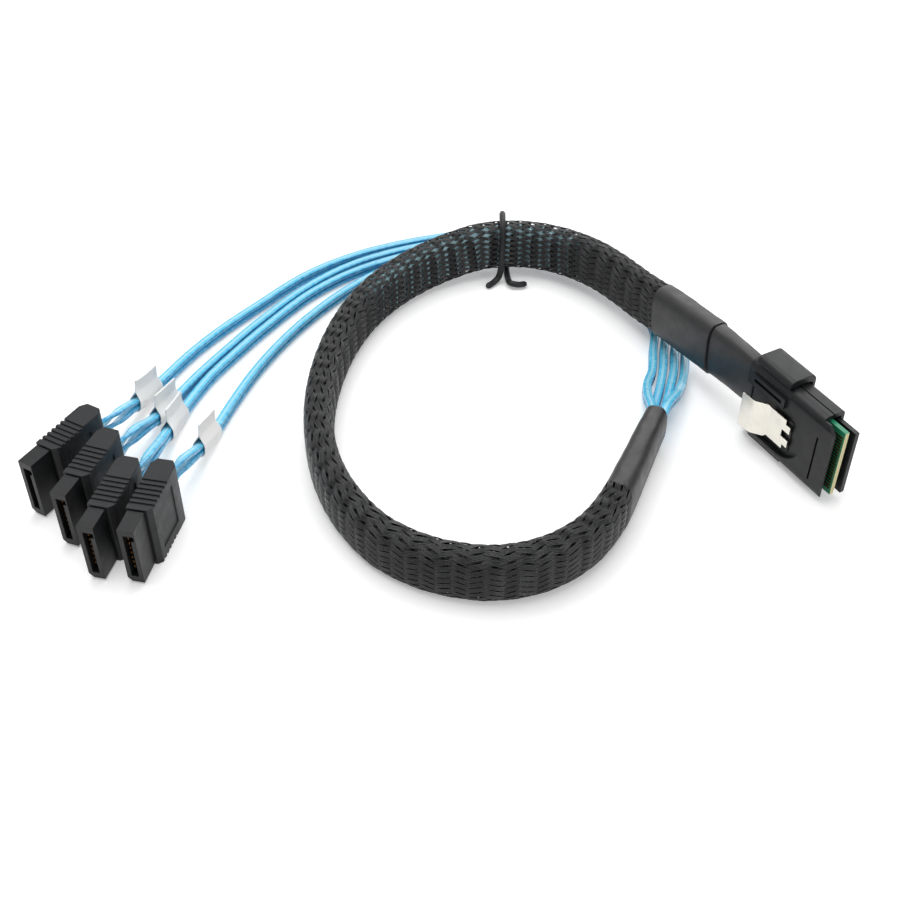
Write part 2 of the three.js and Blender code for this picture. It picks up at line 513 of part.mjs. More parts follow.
const grip = () => {
  const front = -NOSE_LENGTH - SEAT_GAP / 2;
  const straightEnd = -NOSE_LENGTH - GRIP_LENGTH;
  const plan = prismAlongZ(shapeOf([
    [front, gripY[0] + 0.2], [front, gripY[1] - GRIP_FRONT_BEVEL], [front - GRIP_FRONT_BEVEL, gripY[1]],
    [straightEnd, gripY[1]], [gripRear, gripY[1] - 1], [gripRear, gripY[0] + 1], [straightEnd, gripY[0]],
    [front - 0.2, gripY[0]],
  ]), [0, GRIP_WIDTH]);
  const firstGroove = front - 1.4;
  const groove = (edge) => Array.from({ length: GROOVE_COUNT }, (_, i) => {
    const x = firstGroove - i * GROOVE_PITCH;
    return block([x - GROOVE_WIDTH, x], [-10, 10],
      edge > 0 ? [GRIP_WIDTH - GROOVE_DEPTH, GRIP_WIDTH + 1] : [-1, GROOVE_DEPTH]);
  });
  const pocket = block([rootX[0] - SEAT_GAP, front + 1],
    [-ROOT_THICKNESS / 2 - SEAT_GAP, ROOT_THICKNESS / 2 + SEAT_GAP],
    [noseMiddle - ROOT_WIDTH / 2 - SEAT_GAP, noseMiddle + ROOT_WIDTH / 2 + SEAT_GAP]);
  const panelX = [-NOSE_LENGTH - 2.6 - PANEL_LENGTH, -NOSE_LENGTH - 2.6];
  const panelZ = [GRIP_WIDTH / 2 - PANEL_WIDTH / 2, GRIP_WIDTH / 2 + PANEL_WIDTH / 2];
  const panels = [[gripY[1] - PANEL_DEPTH, gripY[1] + 1], [gripY[0] - 1, gripY[0] + PANEL_DEPTH]]
    .map((y) => block(panelX, y, panelZ));
  const inletHalf = RIBBON_EDGE_PITCH / 2 + RIBBON_WIDTH / 2 + SEAT_GAP;
  const inlet = block([gripRear - 1, gripRear + CABLE_POCKET_DEPTH],
    [-RIBBON_THICKNESS / 2 - SEAT_GAP, RIBBON_THICKNESS / 2 + SEAT_GAP],
    [GRIP_WIDTH / 2 - inletHalf, GRIP_WIDTH / 2 + inletHalf]);
  return cutFrom(plan, ...groove(1), ...groove(-1), pocket, ...panels, inlet);
};

// Trunk pieces, each on its own stretch of the one route
const trunkPiece = (start, end, tall, wide, sides = 12) => {
  const sectionAt = (distance) => {
    const share = (distance - start) / (end - start);
    return { tall: lerp(tall[0], tall[1], share), wide: lerp(wide[0], wide[1], share) };
  };
  const path = new CordPath(TRUNK_ROUTE, sectionAt, [start, end]);
  return sweep(unitSection(sides, 0.62), path, Math.min(TRUNK_STEP, (end - start) / 3));
};
const trunkLength = new CordPath(TRUNK_ROUTE, null).total;

// Ribbons: level 0 is the lower one of its pair, level 1 the upper one
const ribbon = (route, level) => {
  const reference = new CordPath(route, null);
  const turned = (toEnd) => smooth(-toEnd, -ROLL_START, -ROLL_END);
  const pitchAt = (toEnd) => lerp(RIBBON_LEVEL_PITCH, RIBBON_EDGE_PITCH, smooth(-toEnd, -SPREAD_START, -SPREAD_END));
  const samples = Math.ceil(reference.total / 4);
  const points = Array.from({ length: samples + 1 }, (_, i) => {
    const distance = (reference.total * i) / samples;
    const point = reference.getPointAt(i / samples);
    return [point.x, point.y, point.z + (level - 0.5) * pitchAt(reference.total - distance)];
  });
  const sectionAt = (distance, total) => ({
    tall: RIBBON_THICKNESS, wide: RIBBON_WIDTH, roll: (Math.PI / 2) * turned(total - distance),
  });
  return sweep(unitSection(8, 0.6), new CordPath(points, sectionAt), RIBBON_STEP);
};

// A paper strip folded round a pair, its two ends stuck together above it
const flag = (route, fromEnd) => {
  const reference = new CordPath(route, null);
  const middle = reference.total - fromEnd;
  const start = middle - FLAG_LENGTH / 2;
  const path = new CordPath(route, () => ({ tall: 1, wide: 1 }), [start, middle + FLAG_LENGTH / 2]);
  const wrapWide = RIBBON_WIDTH / 2 + SEAT_GAP;
  const wrapTall = RIBBON_LEVEL_PITCH / 2 + RIBBON_THICKNESS / 2 + SEAT_GAP;
  const outer = shapeOf([
    [-wrapTall - FLAG_WALL, -wrapWide + 0.2], [-wrapTall - FLAG_WALL, wrapWide - 0.2],
    [-wrapTall + 0.4, wrapWide + FLAG_WALL], [wrapTall, wrapWide + FLAG_WALL],
    [wrapTall + 1.3, FLAG_WALL], [FLAG_TALL - wrapTall, FLAG_WALL],
    [FLAG_TALL - wrapTall, -FLAG_WALL], [wrapTall + 1.3, -FLAG_WALL],
    [wrapTall, -wrapWide - FLAG_WALL], [-wrapTall + 0.4, -wrapWide - FLAG_WALL],
  ]);
  const inner = shapeOf([
    [-wrapTall, -wrapWide + 0.1], [-wrapTall, wrapWide - 0.1], [-wrapTall + 0.3, wrapWide],
    [wrapTall, wrapWide], [wrapTall + 0.9, 0], [wrapTall, -wrapWide], [-wrapTall + 0.3, -wrapWide],
  ]);
  const innerPath = new CordPath(route, path.sectionAt, [start - 1, middle + FLAG_LENGTH / 2 + 1]);
  return cutFrom(sweep(outer, path, FLAG_LENGTH / 4), sweep(inner, innerPath, FLAG_LENGTH / 4));
};

const twistTie = () => {
  const path = new THREE.CatmullRomCurve3(TIE_ROUTE.map((p) => new THREE.Vector3(...p)), false, 'centripetal');
  const section = unitSection(8, 1);
  const scaled = shapeOf(section.getPoints().slice(0, 8).map((p) => [p.x * TIE_DIAMETER, p.y * TIE_DIAMETER]));
  const steps = Math.round(path.getLength() / 1.8);
  return toManifold(new THREE.ExtrudeGeometry(scaled, { steps, extrudePath: path, bevelEnabled: false }));
};

// Assembly
const cable = new THREE.Group();

const hostPlug = new THREE.Group();
hostPlug.rotation.z = THREE.MathUtils.degToRad(HOST_TURN_DEG);
hostPlug.add(
  solidMesh('host_latch_shell', latchShell(), BLACK_NYLON),
  solidMesh('host_back_shell', backShell(), BLACK_NYLON),
  solidMesh('host_cover', cover(), BLACK_NYLON),
  solidMesh('host_paddle_card', paddleCard(), CARD_LAMINATE),
  solidMesh('host_wire_block', wireBlock(), NATURAL_RESIN),
  solidMesh('host_latch', latch(), SPRING_STEEL),
);
cable.add(hostPlug);

const cut = SEAT_GAP / 2;
cable.add(
  solidMesh('host_inner_shrink', trunkPiece(INNER_SHRINK.start, INNER_SHRINK.end - cut,
    INNER_SHRINK.tall, INNER_SHRINK.wide), SHRINK),
  solidMesh('host_outer_shrink', trunkPiece(OUTER_SHRINK.start + cut, OUTER_SHRINK.end - cut,
    OUTER_SHRINK.tall, OUTER_SHRINK.wide), SHRINK),
  solidMesh('braided_sleeve', trunkPiece(OUTER_SHRINK.end + cut, SLEEVE_END - cut,
    [SLEEVE_TALL, SLEEVE_TALL], [SLEEVE_WIDE, SLEEVE_WIDE]), BRAID),
  solidMesh('breakout_shrink', trunkPiece(SLEEVE_END + cut, trunkLength,
    [SLEEVE_TALL, BREAKOUT_TIP.tall], [SLEEVE_WIDE, BREAKOUT_TIP.wide]), SHRINK),
  solidMesh('twist_tie', twistTie(), BLACK_PVC),
);

PLUGS.forEach(({ nose, turnDeg }, index) => {
  const number = index + 1;
  const plug = new THREE.Group();
  plug.position.set(nose[0], nose[1], 0);
  plug.rotation.z = THREE.MathUtils.degToRad(turnDeg - 180);
  plug.add(
    solidMesh(`drive_${number}_insulator`, insulator(), BLACK_NYLON),
    solidMesh(`drive_${number}_contacts`, contactWafer(), GOLD),
    solidMesh(`drive_${number}_grip`, grip(), BLACK_PVC),
  );
  cable.add(plug);
  const route = PAIR_ROUTES[index];
  cable.add(
    solidMesh(`ribbon_${number}_lower`, ribbon(route, 0), BLUE_JACKET),
    solidMesh(`ribbon_${number}_upper`, ribbon(route, 1), BLUE_JACKET),
    solidMesh(`flag_${number}`, flag(route, FLAG_FROM_PLUG[index]), WHITE_PAPER),
  );
});

export default cable;
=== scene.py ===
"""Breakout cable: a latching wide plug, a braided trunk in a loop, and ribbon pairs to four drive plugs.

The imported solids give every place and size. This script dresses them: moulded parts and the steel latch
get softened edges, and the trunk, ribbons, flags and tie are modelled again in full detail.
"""

import logging
import math
from dataclasses import dataclass, field
from enum import Enum

import bmesh
import bpy
import numpy as np
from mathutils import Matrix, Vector


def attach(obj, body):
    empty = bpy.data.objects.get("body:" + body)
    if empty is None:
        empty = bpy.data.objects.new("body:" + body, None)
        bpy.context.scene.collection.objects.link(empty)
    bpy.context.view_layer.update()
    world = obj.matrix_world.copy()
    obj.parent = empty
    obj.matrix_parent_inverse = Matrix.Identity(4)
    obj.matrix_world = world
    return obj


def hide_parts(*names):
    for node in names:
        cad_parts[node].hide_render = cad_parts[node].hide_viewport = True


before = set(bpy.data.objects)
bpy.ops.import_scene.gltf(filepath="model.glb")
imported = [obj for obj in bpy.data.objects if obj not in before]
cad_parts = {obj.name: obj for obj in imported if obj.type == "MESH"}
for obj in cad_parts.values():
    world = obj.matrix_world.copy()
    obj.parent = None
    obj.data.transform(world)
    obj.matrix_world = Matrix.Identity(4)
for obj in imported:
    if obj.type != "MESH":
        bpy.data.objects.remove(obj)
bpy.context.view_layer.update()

LOG = logging.getLogger("breakout_cable")
MM = 0.001
UP = np.array([0.0, 0.0, 1.0])
HOST_TURN_DEG = -61.0
# How square the trunk's section is: 1 is an ellipse, 0 a rectangle
TRUNK_ROUNDNESS = 0.62

# Routes in millimetres, the same points as the solids follow
TRUNK_ROUTE = [
    (-5.7, 10.3, 12.9), (-8.0, 14.5, 12.9), (-11.8, 21.3, 12.7), (-17.0, 30.4, 12.0),
    (-21.7, 39.4, 10.8), (-26.5, 47.4, 9.8), (-31.0, 54.8, 9.4), (-35.7, 61.2, 9.1), (-41.0, 66.5, 8.6),
    (-46.4, 70.0, 8.3), (-52.4, 72.0, 8.2), (-58.5, 72.3, 8.2), (-64.6, 71.2, 8.1), (-71.0, 69.0, 7.3),
    (-79.4, 63.8, 6.5), (-86.6, 56.5, 6.2), (-92.3, 47.5, 6.2), (-96.5, 37.0, 6.2), (-99.0, 26.4, 6.2),
    (-100.3, 15.3, 6.2), (-100.2, 4.8, 6.2), (-98.8, -4.8, 6.2), (-96.0, -13.8, 6.2),
    (-91.8, -21.9, 6.2), (-86.2, -29.1, 6.2), (-80.8, -33.2, 6.2), (-75.6, -35.8, 6.2),
    (-70.4, -37.3, 6.2), (-64.6, -38.0, 6.2), (-57.4, -36.9, 6.2), (-51.0, -34.0, 6.2),
    (-45.0, -29.0, 6.2), (-39.8, -21.4, 6.2), (-35.3, -11.6, 6.2), (-31.2, -1.8, 6.2), (-28.2, 5.1, 6.2),
]
PAIR_ROUTES = [
    [
        (-26.9, 5.1, 7.6), (-24.7, 11.0, 6.4), (-21.9, 16.4, 4.8), (-19.8, 22.2, 2.6),
        (-18.2, 28.4, 1.5), (-16.9, 36.2, 1.5), (-15.5, 45.2, 1.5), (-17.2, 54.2, 1.5),
        (-21.4, 62.2, 1.5), (-27.0, 69.6, 1.8), (-34.0, 76.2, 2.6), (-42.0, 81.0, 3.2),
        (-50.6, 83.6, 3.3), (-59.2, 84.2, 3.3), (-67.8, 84.0, 3.2), (-80.6, 82.4, 2.2),
        (-95.8, 77.0, 1.5), (-108.1, 67.9, 1.5), (-119.4, 54.4, 1.5), (-127.2, 44.2, 1.5),
        (-132.9, 35.2, 1.5), (-137.2, 26.4, 1.7), (-140.4, 18.0, 2.9), (-142.8, 11.6, 4.8),
        (-145.1, 4.2, 7.0), (-147.5, -0.2, 7.4),
    ],
    [
        (-26.9, 5.1, 4.8), (-25.4, 11.2, 3.6), (-23.9, 16.4, 2.1), (-22.2, 22.6, 1.5),
        (-20.6, 28.6, 1.5), (-19.4, 36.4, 1.5), (-18.0, 45.0, 1.5), (-19.6, 53.2, 1.5),
        (-23.6, 60.8, 1.5), (-28.8, 67.6, 1.8), (-35.4, 73.8, 2.6), (-42.8, 78.5, 3.2),
        (-50.9, 81.1, 3.3), (-59.2, 81.7, 3.3), (-67.2, 81.3, 3.2), (-80.2, 79.6, 2.2),
        (-95.4, 73.4, 1.5), (-107.4, 62.6, 1.5), (-118.4, 47.2, 1.5), (-124.6, 36.8, 1.5),
        (-129.8, 27.4, 1.5), (-133.8, 18.5, 1.8), (-136.8, 9.8, 3.4), (-138.9, 2.2, 6.4),
        (-140.4, -2.8, 7.4), (-142.0, -7.6, 7.4),
    ],
    [
        (-29.1, 6.1, 4.8), (-27.8, 10.4, 3.6), (-26.5, 15.8, 2.1), (-24.6, 22.4, 1.5),
        (-23.1, 28.8, 1.5), (-21.9, 36.6, 1.5), (-20.6, 44.8, 1.5), (-22.0, 52.2, 1.5),
        (-25.8, 59.3, 1.5), (-30.6, 65.8, 1.8), (-36.8, 71.8, 2.6), (-43.6, 76.2, 3.2),
        (-51.2, 78.7, 3.3), (-59.1, 79.3, 3.3), (-66.6, 78.8, 3.2), (-79.8, 76.8, 2.2),
        (-94.6, 70.4, 1.5), (-106.2, 60.2, 1.5), (-116.4, 45.6, 1.5), (-122.2, 35.8, 1.5),
        (-127.2, 26.4, 1.5), (-130.6, 17.4, 1.5), (-132.8, 8.4, 2.5), (-134.0, -1.2, 5.2),
        (-135.2, -10.6, 7.4), (-136.5, -16.1, 7.4),
    ],
    [
        (-29.1, 6.1, 7.6), (-28.4, 10.4, 6.4), (-28.4, 15.6, 4.7), (-27.6, 22.2, 2.8),
        (-25.5, 29.0, 1.5), (-24.4, 36.8, 1.5), (-23.2, 44.4, 1.5), (-24.6, 51.4, 1.5),
        (-28.0, 57.8, 1.5), (-32.5, 64.0, 1.8), (-38.2, 69.8, 2.6), (-44.5, 73.9, 3.2),
        (-51.5, 76.3, 3.3), (-59.0, 76.9, 3.3), (-66.0, 76.3, 3.2), (-78.0, 74.2, 2.2),
        (-89.4, 69.2, 1.5), (-98.6, 60.2, 1.5), (-107.0, 48.6, 1.5), (-113.0, 37.8, 1.5),
        (-117.4, 27.6, 1.5), (-120.8, 17.4, 1.5), (-123.4, 8.0, 1.8), (-125.6, -1.4, 4.4),
        (-127.7, -9.8, 7.3), (-129.3, -17.0, 7.4),
    ],
]
TIE_ROUTE = [
    (-62.8, 64.4, 0.8), (-61.4, 65.8, 0.8), (-60.0, 67.0, 1.6), (-59.4, 67.4, 3.6), (-59.2, 67.6, 7.6),
    (-59.1, 67.9, 12.4), (-59.1, 69.3, 15.1), (-59.1, 72.3, 15.8), (-59.0, 75.6, 15.0),
    (-58.8, 78.6, 12.2), (-58.6, 82.2, 8.8), (-58.4, 85.4, 6.6), (-58.2, 86.6, 4.0), (-58.0, 85.4, 1.2),
    (-57.9, 82.0, 0.8), (-57.8, 76.0, 0.8), (-57.7, 70.6, 0.8), (-57.4, 67.2, 1.0), (-56.9, 65.0, 1.4),
    (-55.0, 64.6, 1.2), (-53.0, 65.4, 0.9),
]


class Body(Enum):
    """The two bodies that pieces ride on."""

    CABLE = "cable"
    LATCH = "latch"


class Slot(Enum):
    """The record's material slots."""

    NYLON = "plug_nylon"
    GRIP = "grip_pvc"
    BRAID = "braid_pet"
    SHRINK = "shrink_tube"
    JACKET = "ribbon_jacket"
    PAPER = "flag_paper"
    STEEL = "latch_steel"
    LAMINATE = "card_laminate"
    GOLD = "contact_gold"
    RESIN = "resin"


def to_linear(colour: str) -> tuple[float, float, float, float]:
    """Turns an sRGB hex colour into linear RGBA.

    Args:
        colour: six hex digits, with or without a leading hash.

    Returns:
        The colour as four linear numbers.
    """
    digits = colour.lstrip("#")
    parts = [int(digits[i:i + 2], 16) / 255 for i in (0, 2, 4)]
    linear = [p / 12.92 if p <= 0.04045 else ((p + 0.055) / 1.055) ** 2.4 for p in parts]
    return linear[0], linear[1], linear[2], 1.0


def add_node(tree: bpy.types.NodeTree, kind: str, inputs: dict | None = None, **settings) -> bpy.types.Node:
    """Adds one node, sets its options and fills or links its inputs.

    Args:
        tree: the tree that gets the node.
        kind: the node's type name.
        inputs: socket name or index to a value, or to an output socket to link from.
        settings: the node's own options.

    Returns:
        The new node.
    """
    node = tree.nodes.new(kind)
    for option, value in settings.items():
        setattr(node, option, value)
    for key, value in (inputs or {}).items():
        if isinstance(value, bpy.types.NodeSocket):
            tree.links.new(value, node.inputs[key])
        else:
            node.inputs[key].default_value = value
    return node


def texture_scale(size_mm: float) -> float:
    """Gives the texture scale at which a pattern repeats about every so many millimetres."""
    return 1 / (size_mm * MM)


@dataclass(frozen=True)
class Finish:
    """A plain finish: one colour, broken up by fine mottle and grain.

    Attributes:
        name: the material's name.
        colour: sRGB hex of the surface.
        second: sRGB hex that the mottle drifts towards.
        roughness: the mean roughness.
        mottle_mm: size of the slow colour drift.
        grain_mm: size of the moulded grain.
        grain_depth_mm: how deep the grain is.
        metallic: 1 for bare metal.
        wear_mm: size of the slow drift in roughness.
        roughness_drift: how far the roughness drifts either way.
    """

    name: str
    colour: str
    second: str
    roughness: float
    mottle_mm: float = 4.0
    grain_mm: float = 0.25
    grain_depth_mm: float = 0.012
    metallic: float = 0.0
    wear_mm: float = 2.5
    roughness_drift: float = 0.06

    def colour_socket(self, tree: bpy.types.NodeTree, place: bpy.types.NodeSocket) -> bpy.types.NodeSocket:
        """Drifts slowly between the two colours.

        Args:
            tree: the material's tree.
            place: object coordinates.

        Returns:
            The colour output.
        """
        mottle = add_node(tree, "ShaderNodeTexNoise", {
            "Vector": place, "Scale": texture_scale(self.mottle_mm),
        })
        mix = add_node(tree, "ShaderNodeMix", {
            "Factor": mottle.outputs["Fac"], "A": to_linear(self.colour), "B": to_linear(self.second),
        }, data_type="RGBA")
        return mix.outputs[2]

    def height_socket(self, tree: bpy.types.NodeTree, place: bpy.types.NodeSocket) -> bpy.types.NodeSocket:
        """Gives the fine relief, here an even moulded grain.

        Args:
            tree: the material's tree.
            place: object coordinates.

        Returns:
            The height output, from 0 to 1.
        """
        grain = add_node(tree, "ShaderNodeTexNoise", {
            "Vector": place, "Scale": texture_scale(self.grain_mm), "Detail": 3.0,
        })
        return grain.outputs["Fac"]

    def tune(self, shader: bpy.types.Node) -> None:
        """Sets what else the shader needs; a plain finish needs nothing."""

    def build(self) -> bpy.types.Material:
        """Makes the material.

        Returns:
            The material, with its nodes in place.
        """
        material = bpy.data.materials.new(self.name)
        material.use_nodes = True
        tree = material.node_tree
        tree.nodes.clear()
        place = add_node(tree, "ShaderNodeTexCoord").outputs["Object"]
        wear = add_node(tree, "ShaderNodeTexNoise", {
            "Vector": place, "Scale": texture_scale(self.wear_mm), "Detail": 4.0,
        })
        rough = add_node(tree, "ShaderNodeMapRange", {
            "Value": wear.outputs["Fac"], "From Min": 0.3, "From Max": 0.7,
            "To Min": self.roughness - self.roughness_drift,
            "To Max": self.roughness + self.roughness_drift,
        })
        bump = add_node(tree, "ShaderNodeBump", {
            "Height": self.height_socket(tree, place), "Distance": self.grain_depth_mm * MM, "Strength": 1.0,
        })
        shader = add_node(tree, "ShaderNodeBsdfPrincipled", {
            "Base Color": self.colour_socket(tree, place), "Roughness": rough.outputs["Result"],
            "Metallic": self.metallic, "Normal": bump.outputs["Normal"],
        })
        self.tune(shader)
        add_node(tree, "ShaderNodeOutputMaterial", {"Surface": shader.outputs["BSDF"]})
        return material


@dataclass(frozen=True)
class BlackFinish(Finish):
    """A black plastic whose skin reflects less than clear plastic does, because its grain traps light."""

    def tune(self, shader: bpy.types.Node) -> None:
        """Weakens the reflection."""
        shader.inputs["Specular IOR Level"].default_value = 0.3


@dataclass(frozen=True)
class MonofilamentFinish(Finish):
    """Braided polyester monofilament: black and smooth, each float a little lighter or darker."""

    def colour_socket(self, tree: bpy.types.NodeTree, place: bpy.types.NodeSocket) -> bpy.types.NodeSocket:
        """Takes the mix of the two colours from each float's own shade."""
        shade = add_node(tree, "ShaderNodeAttribute", attribute_name="shade")
        mix = add_node(tree, "ShaderNodeMix", {
            "Factor": shade.outputs["Fac"], "A": to_linear(self.colour), "B": to_linear(self.second),
        }, data_type="RGBA")
        return mix.outputs[2]


@dataclass(frozen=True)
class ShrinkFinish(Finish):
    """Polyolefin heat shrink: satin, with soft lumps where it drew in round the bundle."""

    def height_socket(self, tree: bpy.types.NodeTree, place: bpy.types.NodeSocket) -> bpy.types.NodeSocket:
        """Adds soft lumps of 3 mm to the fine grain."""
        fine, lumps = (add_node(tree, "ShaderNodeTexNoise", {
            "Vector": place, "Scale": texture_scale(size), "Detail": 2.0,
        }) for size in (0.3, 3.0))
        total = add_node(tree, "ShaderNodeMath", {
            0: lumps.outputs["Fac"], 1: 6.0, 2: fine.outputs["Fac"],
        }, operation="MULTIPLY_ADD")
        return total.outputs["Value"]


@dataclass(frozen=True)
class JacketFinish(Finish):
    """Blue polyester film over foil: glossy, with painted shade darkening the edges and a painted highlight
    as a pale line down the middle.

    Attributes:
        edge: sRGB hex of the painted shade at the ribbon's two edges.
        line: sRGB hex of the painted highlight, a pale line down the middle between the two conductors.
        lap_mm: size of the foil's laps.
    """

    edge: str = "#2a98cf"
    line: str = "#dff8ff"
    lap_mm: float = 1.2

    def colour_socket(self, tree: bpy.types.NodeTree, place: bpy.types.NodeSocket) -> bpy.types.NodeSocket:
        """Colours the film across the ribbon from its own attribute, with a painted highlight in the middle
        and painted shade at the edges, and by the foil's slanting laps.
        """
        across = add_node(tree, "ShaderNodeAttribute", attribute_name="across")
        ramp = add_node(tree, "ShaderNodeValToRGB", {"Fac": across.outputs["Fac"]})
        # painted highlight along the middle, plain blue film, then painted shade towards the edges
        stops = [
            (0.0, self.line), (0.16, self.line), (0.34, self.colour), (0.72, self.colour), (1.0, self.edge),
        ]
        elements = ramp.color_ramp.elements
        while len(elements) < len(stops):
            elements.new(0.5)
        for element, (position, colour) in zip(elements, stops):
            element.position = position
            element.color = to_linear(colour)
        laps = add_node(tree, "ShaderNodeTexNoise", {
            "Vector": place, "Scale": texture_scale(self.lap_mm), "Detail": 3.0,
        })
        strength = add_node(tree, "ShaderNodeMapRange", {
            "Value": laps.outputs["Fac"], "From Min": 0.35, "From Max": 0.65, "To Min": 0.0, "To Max": 0.35,
        })
        mix = add_node(tree, "ShaderNodeMix", {
            "Factor": strength.outputs["Result"], "A": ramp.outputs["Color"], "B": to_linear(self.second),
        }, data_type="RGBA")
        return mix.outputs[2]

    def tune(self, shader: bpy.types.Node) -> None:
        """Gives the film its clear gloss."""
        shader.inputs["Coat Weight"].default_value = 0.5
        shader.inputs["Coat Roughness"].default_value = 0.15


@dataclass(frozen=True)
class CoreFinish(Finish):
    """The bundle under the braid: near black as painted shade where the braid is tight, pale blue film
    brightened with painted light where it opens.
    """

    def colour_socket(self, tree: bpy.types.NodeTree, place: bpy.types.NodeSocket) -> bpy.types.NodeSocket:
        """Mixes from the painted shade to the painted-light film by the stretch of the trunk where the mesh
        stands open.
        """
        painted_light_share = add_node(tree, "ShaderNodeAttribute", attribute_name="open_painted_light")
        mix = add_node(tree, "ShaderNodeMix", {
            "Factor": painted_light_share.outputs["Fac"], "A": to_linear(self.colour), "B": to_linear(self.second),
        }, data_type="RGBA")
        return mix.outputs[2]


@dataclass(frozen=True)
class SteelFinish(Finish):
    """Stamped spring steel: bright, drawn out in fine lines along the strip."""

    def height_socket(self, tree: bpy.types.NodeTree, place: bpy.types.NodeSocket) -> bpy.types.NodeSocket:
        """Stretches the grain into rolling lines 0.05 mm apart along the strip."""
        mapping = add_node(tree, "ShaderNodeMapping", {
            "Vector": place, "Rotation": (0.0, 0.0, math.radians(-HOST_TURN_DEG)),
            "Scale": (1.0, 20.0, 20.0),
        })
        lines = add_node(tree, "ShaderNodeTexNoise", {
            "Vector": mapping.outputs["Vector"], "Scale": texture_scale(1.0),
        })
        return lines.outputs["Fac"]


# Glass-filled nylon, injection moulded: the fine spark-eroded grain gives broad soft highlights
NYLON = BlackFinish("moulded_nylon", "#161718", "#1d1e20", 0.4)
# Soft PVC, overmoulded: a duller, slightly greyer black than the nylon
PVC = BlackFinish("overmoulded_pvc", "#1a1b1d", "#222325", 0.48, grain_mm=0.35, grain_depth_mm=0.02)
# Polyester monofilament: drawn smooth, so every float catches the light along its back
FILAMENT = MonofilamentFinish("polyester_monofilament", "#0b0c0d", "#1f2022", 0.26, grain_depth_mm=0.0)
# Heat-shrunk polyolefin: satin charcoal with soft lumps
SHRINK = ShrinkFinish("shrunk_polyolefin", "#1f1f20", "#28282a", 0.46, grain_depth_mm=0.02)
# Blue polyester film over foil, with a painted highlight down the middle and painted shade at the edges
JACKET = JacketFinish("blue_polyester_film", "#45c0ea", "#9ae6fb", 0.3, grain_depth_mm=0.004)
# The same film seen through the braid: painted shade where the braid is tight, pale with painted light where
# it opens
CORE = CoreFinish("bundle_under_braid", "#08090a", "#c4f0fa", 0.3)
# Uncoated label paper: fibres of about 0.4 mm
PAPER = Finish("label_paper", "#f5f5f3", "#fafafa", 0.75, grain_mm=0.4, grain_depth_mm=0.01)
# Stamped stainless spring steel
STEEL = SteelFinish("stamped_steel", "#d9d5cc", "#e8e4da", 0.24, metallic=1.0, grain_depth_mm=0.004)
# Glass-epoxy board: green solder mask on the faces, cream where it was routed
MASK = Finish("green_solder_mask", "#1f7a57", "#2a8f69", 0.35, grain_depth_mm=0.004)
LAMINATE_EDGE = Finish("routed_laminate", "#d6cc98", "#e6dfb6", 0.6, grain_mm=0.15)
# Gold flash over nickel, brownish where it is thin
GOLD = Finish("gold_flash", "#5d3f22", "#7d5732", 0.36, metallic=1.0, grain_depth_mm=0.003)
# Natural potting resin
RESIN = Finish("potting_resin", "#d2ccb8", "#dcd7c6", 0.5)


class Materials:
    """Builds each finish once and hands it out again."""

    def __init__(self) -> None:
        """Starts with no material made."""
        self.made: dict[str, bpy.types.Material] = {}

    def get(self, finish: Finish) -> bpy.types.Material:
        """Returns the material of a finish, making it at first use."""
        if finish.name not in self.made:
            self.made[finish.name] = finish.build()
        return self.made[finish.name]


MATERIALS = Materials()


class Route:
    """A centripetal Catmull-Rom curve through given points, measured along its length."""

    def __init__(self, points: list[tuple[float, float, float]], samples: int = 40) -> None:
        """Samples the curve densely.

        Args:
            points: the points it goes through, in millimetres.
            samples: samples between two points.
        """
        knots = np.array(points, float)
        knots = np.vstack([2 * knots[0] - knots[1], knots, 2 * knots[-1] - knots[-2]])
        pieces = [self._span(knots[i:i + 4], samples) for i in range(len(knots) - 3)]
        self.points = np.vstack(pieces + [knots[-2:-1]])
        steps = np.linalg.norm(np.diff(self.points, axis=0), axis=1)
        self.marks = np.concatenate([[0.0], np.cumsum(steps)])
        self.length = float(self.marks[-1])

    @staticmethod
    def _span(knots: np.ndarray, samples: int) -> np.ndarray:
        """Samples the span between the middle two of four knots."""
        gaps = np.sqrt(np.linalg.norm(np.diff(knots, axis=0), axis=1))
        first, second, third = gaps
        p0, p1, p2, p3 = knots
        start = ((p1 - p0) / first - (p2 - p0) / (first + second) + (p2 - p1) / second) * second
        end = ((p2 - p1) / second - (p3 - p1) / (second + third) + (p3 - p2) / third) * second
        t = np.linspace(0, 1, samples, endpoint=False)[:, None]
        cubic = 2 * p1 - 2 * p2 + start + end
        square = -3 * p1 + 3 * p2 - 2 * start - end
        return p1 + start * t + square * t ** 2 + cubic * t ** 3

    def at(self, distance: np.ndarray) -> np.ndarray:
        """Gives the points at these distances from the start."""
        return np.stack([np.interp(distance, self.marks, self.points[:, k]) for k in range(3)], axis=-1)

    def tangent(self, distance: np.ndarray) -> np.ndarray:
        """Gives the unit directions at these distances."""
        reach = 0.4
        ahead = self.at(np.minimum(distance + reach, self.length))
        behind = self.at(np.maximum(distance - reach, 0.0))
        return unit(ahead - behind)

    def frames(self, distance: np.ndarray) -> tuple[np.ndarray, np.ndarray, np.ndarray, np.ndarray]:
        """Gives point, direction, side and up at these distances, with the section kept upright."""
        direction = self.tangent(distance)
        side = unit(np.cross(direction, UP))
        return self.at(distance), direction, side, np.cross(side, direction)


def unit(vectors: np.ndarray) -> np.ndarray:
    """Scales vectors to length 1."""
    return vectors / np.linalg.norm(vectors, axis=-1, keepdims=True)


def ease(value: np.ndarray, start: float, end: float) -> np.ndarray:
    """Goes smoothly from 0 at start to 1 at end."""
    share = np.clip((value - start) / (end - start), 0, 1)
    return share * share * (3 - 2 * share)


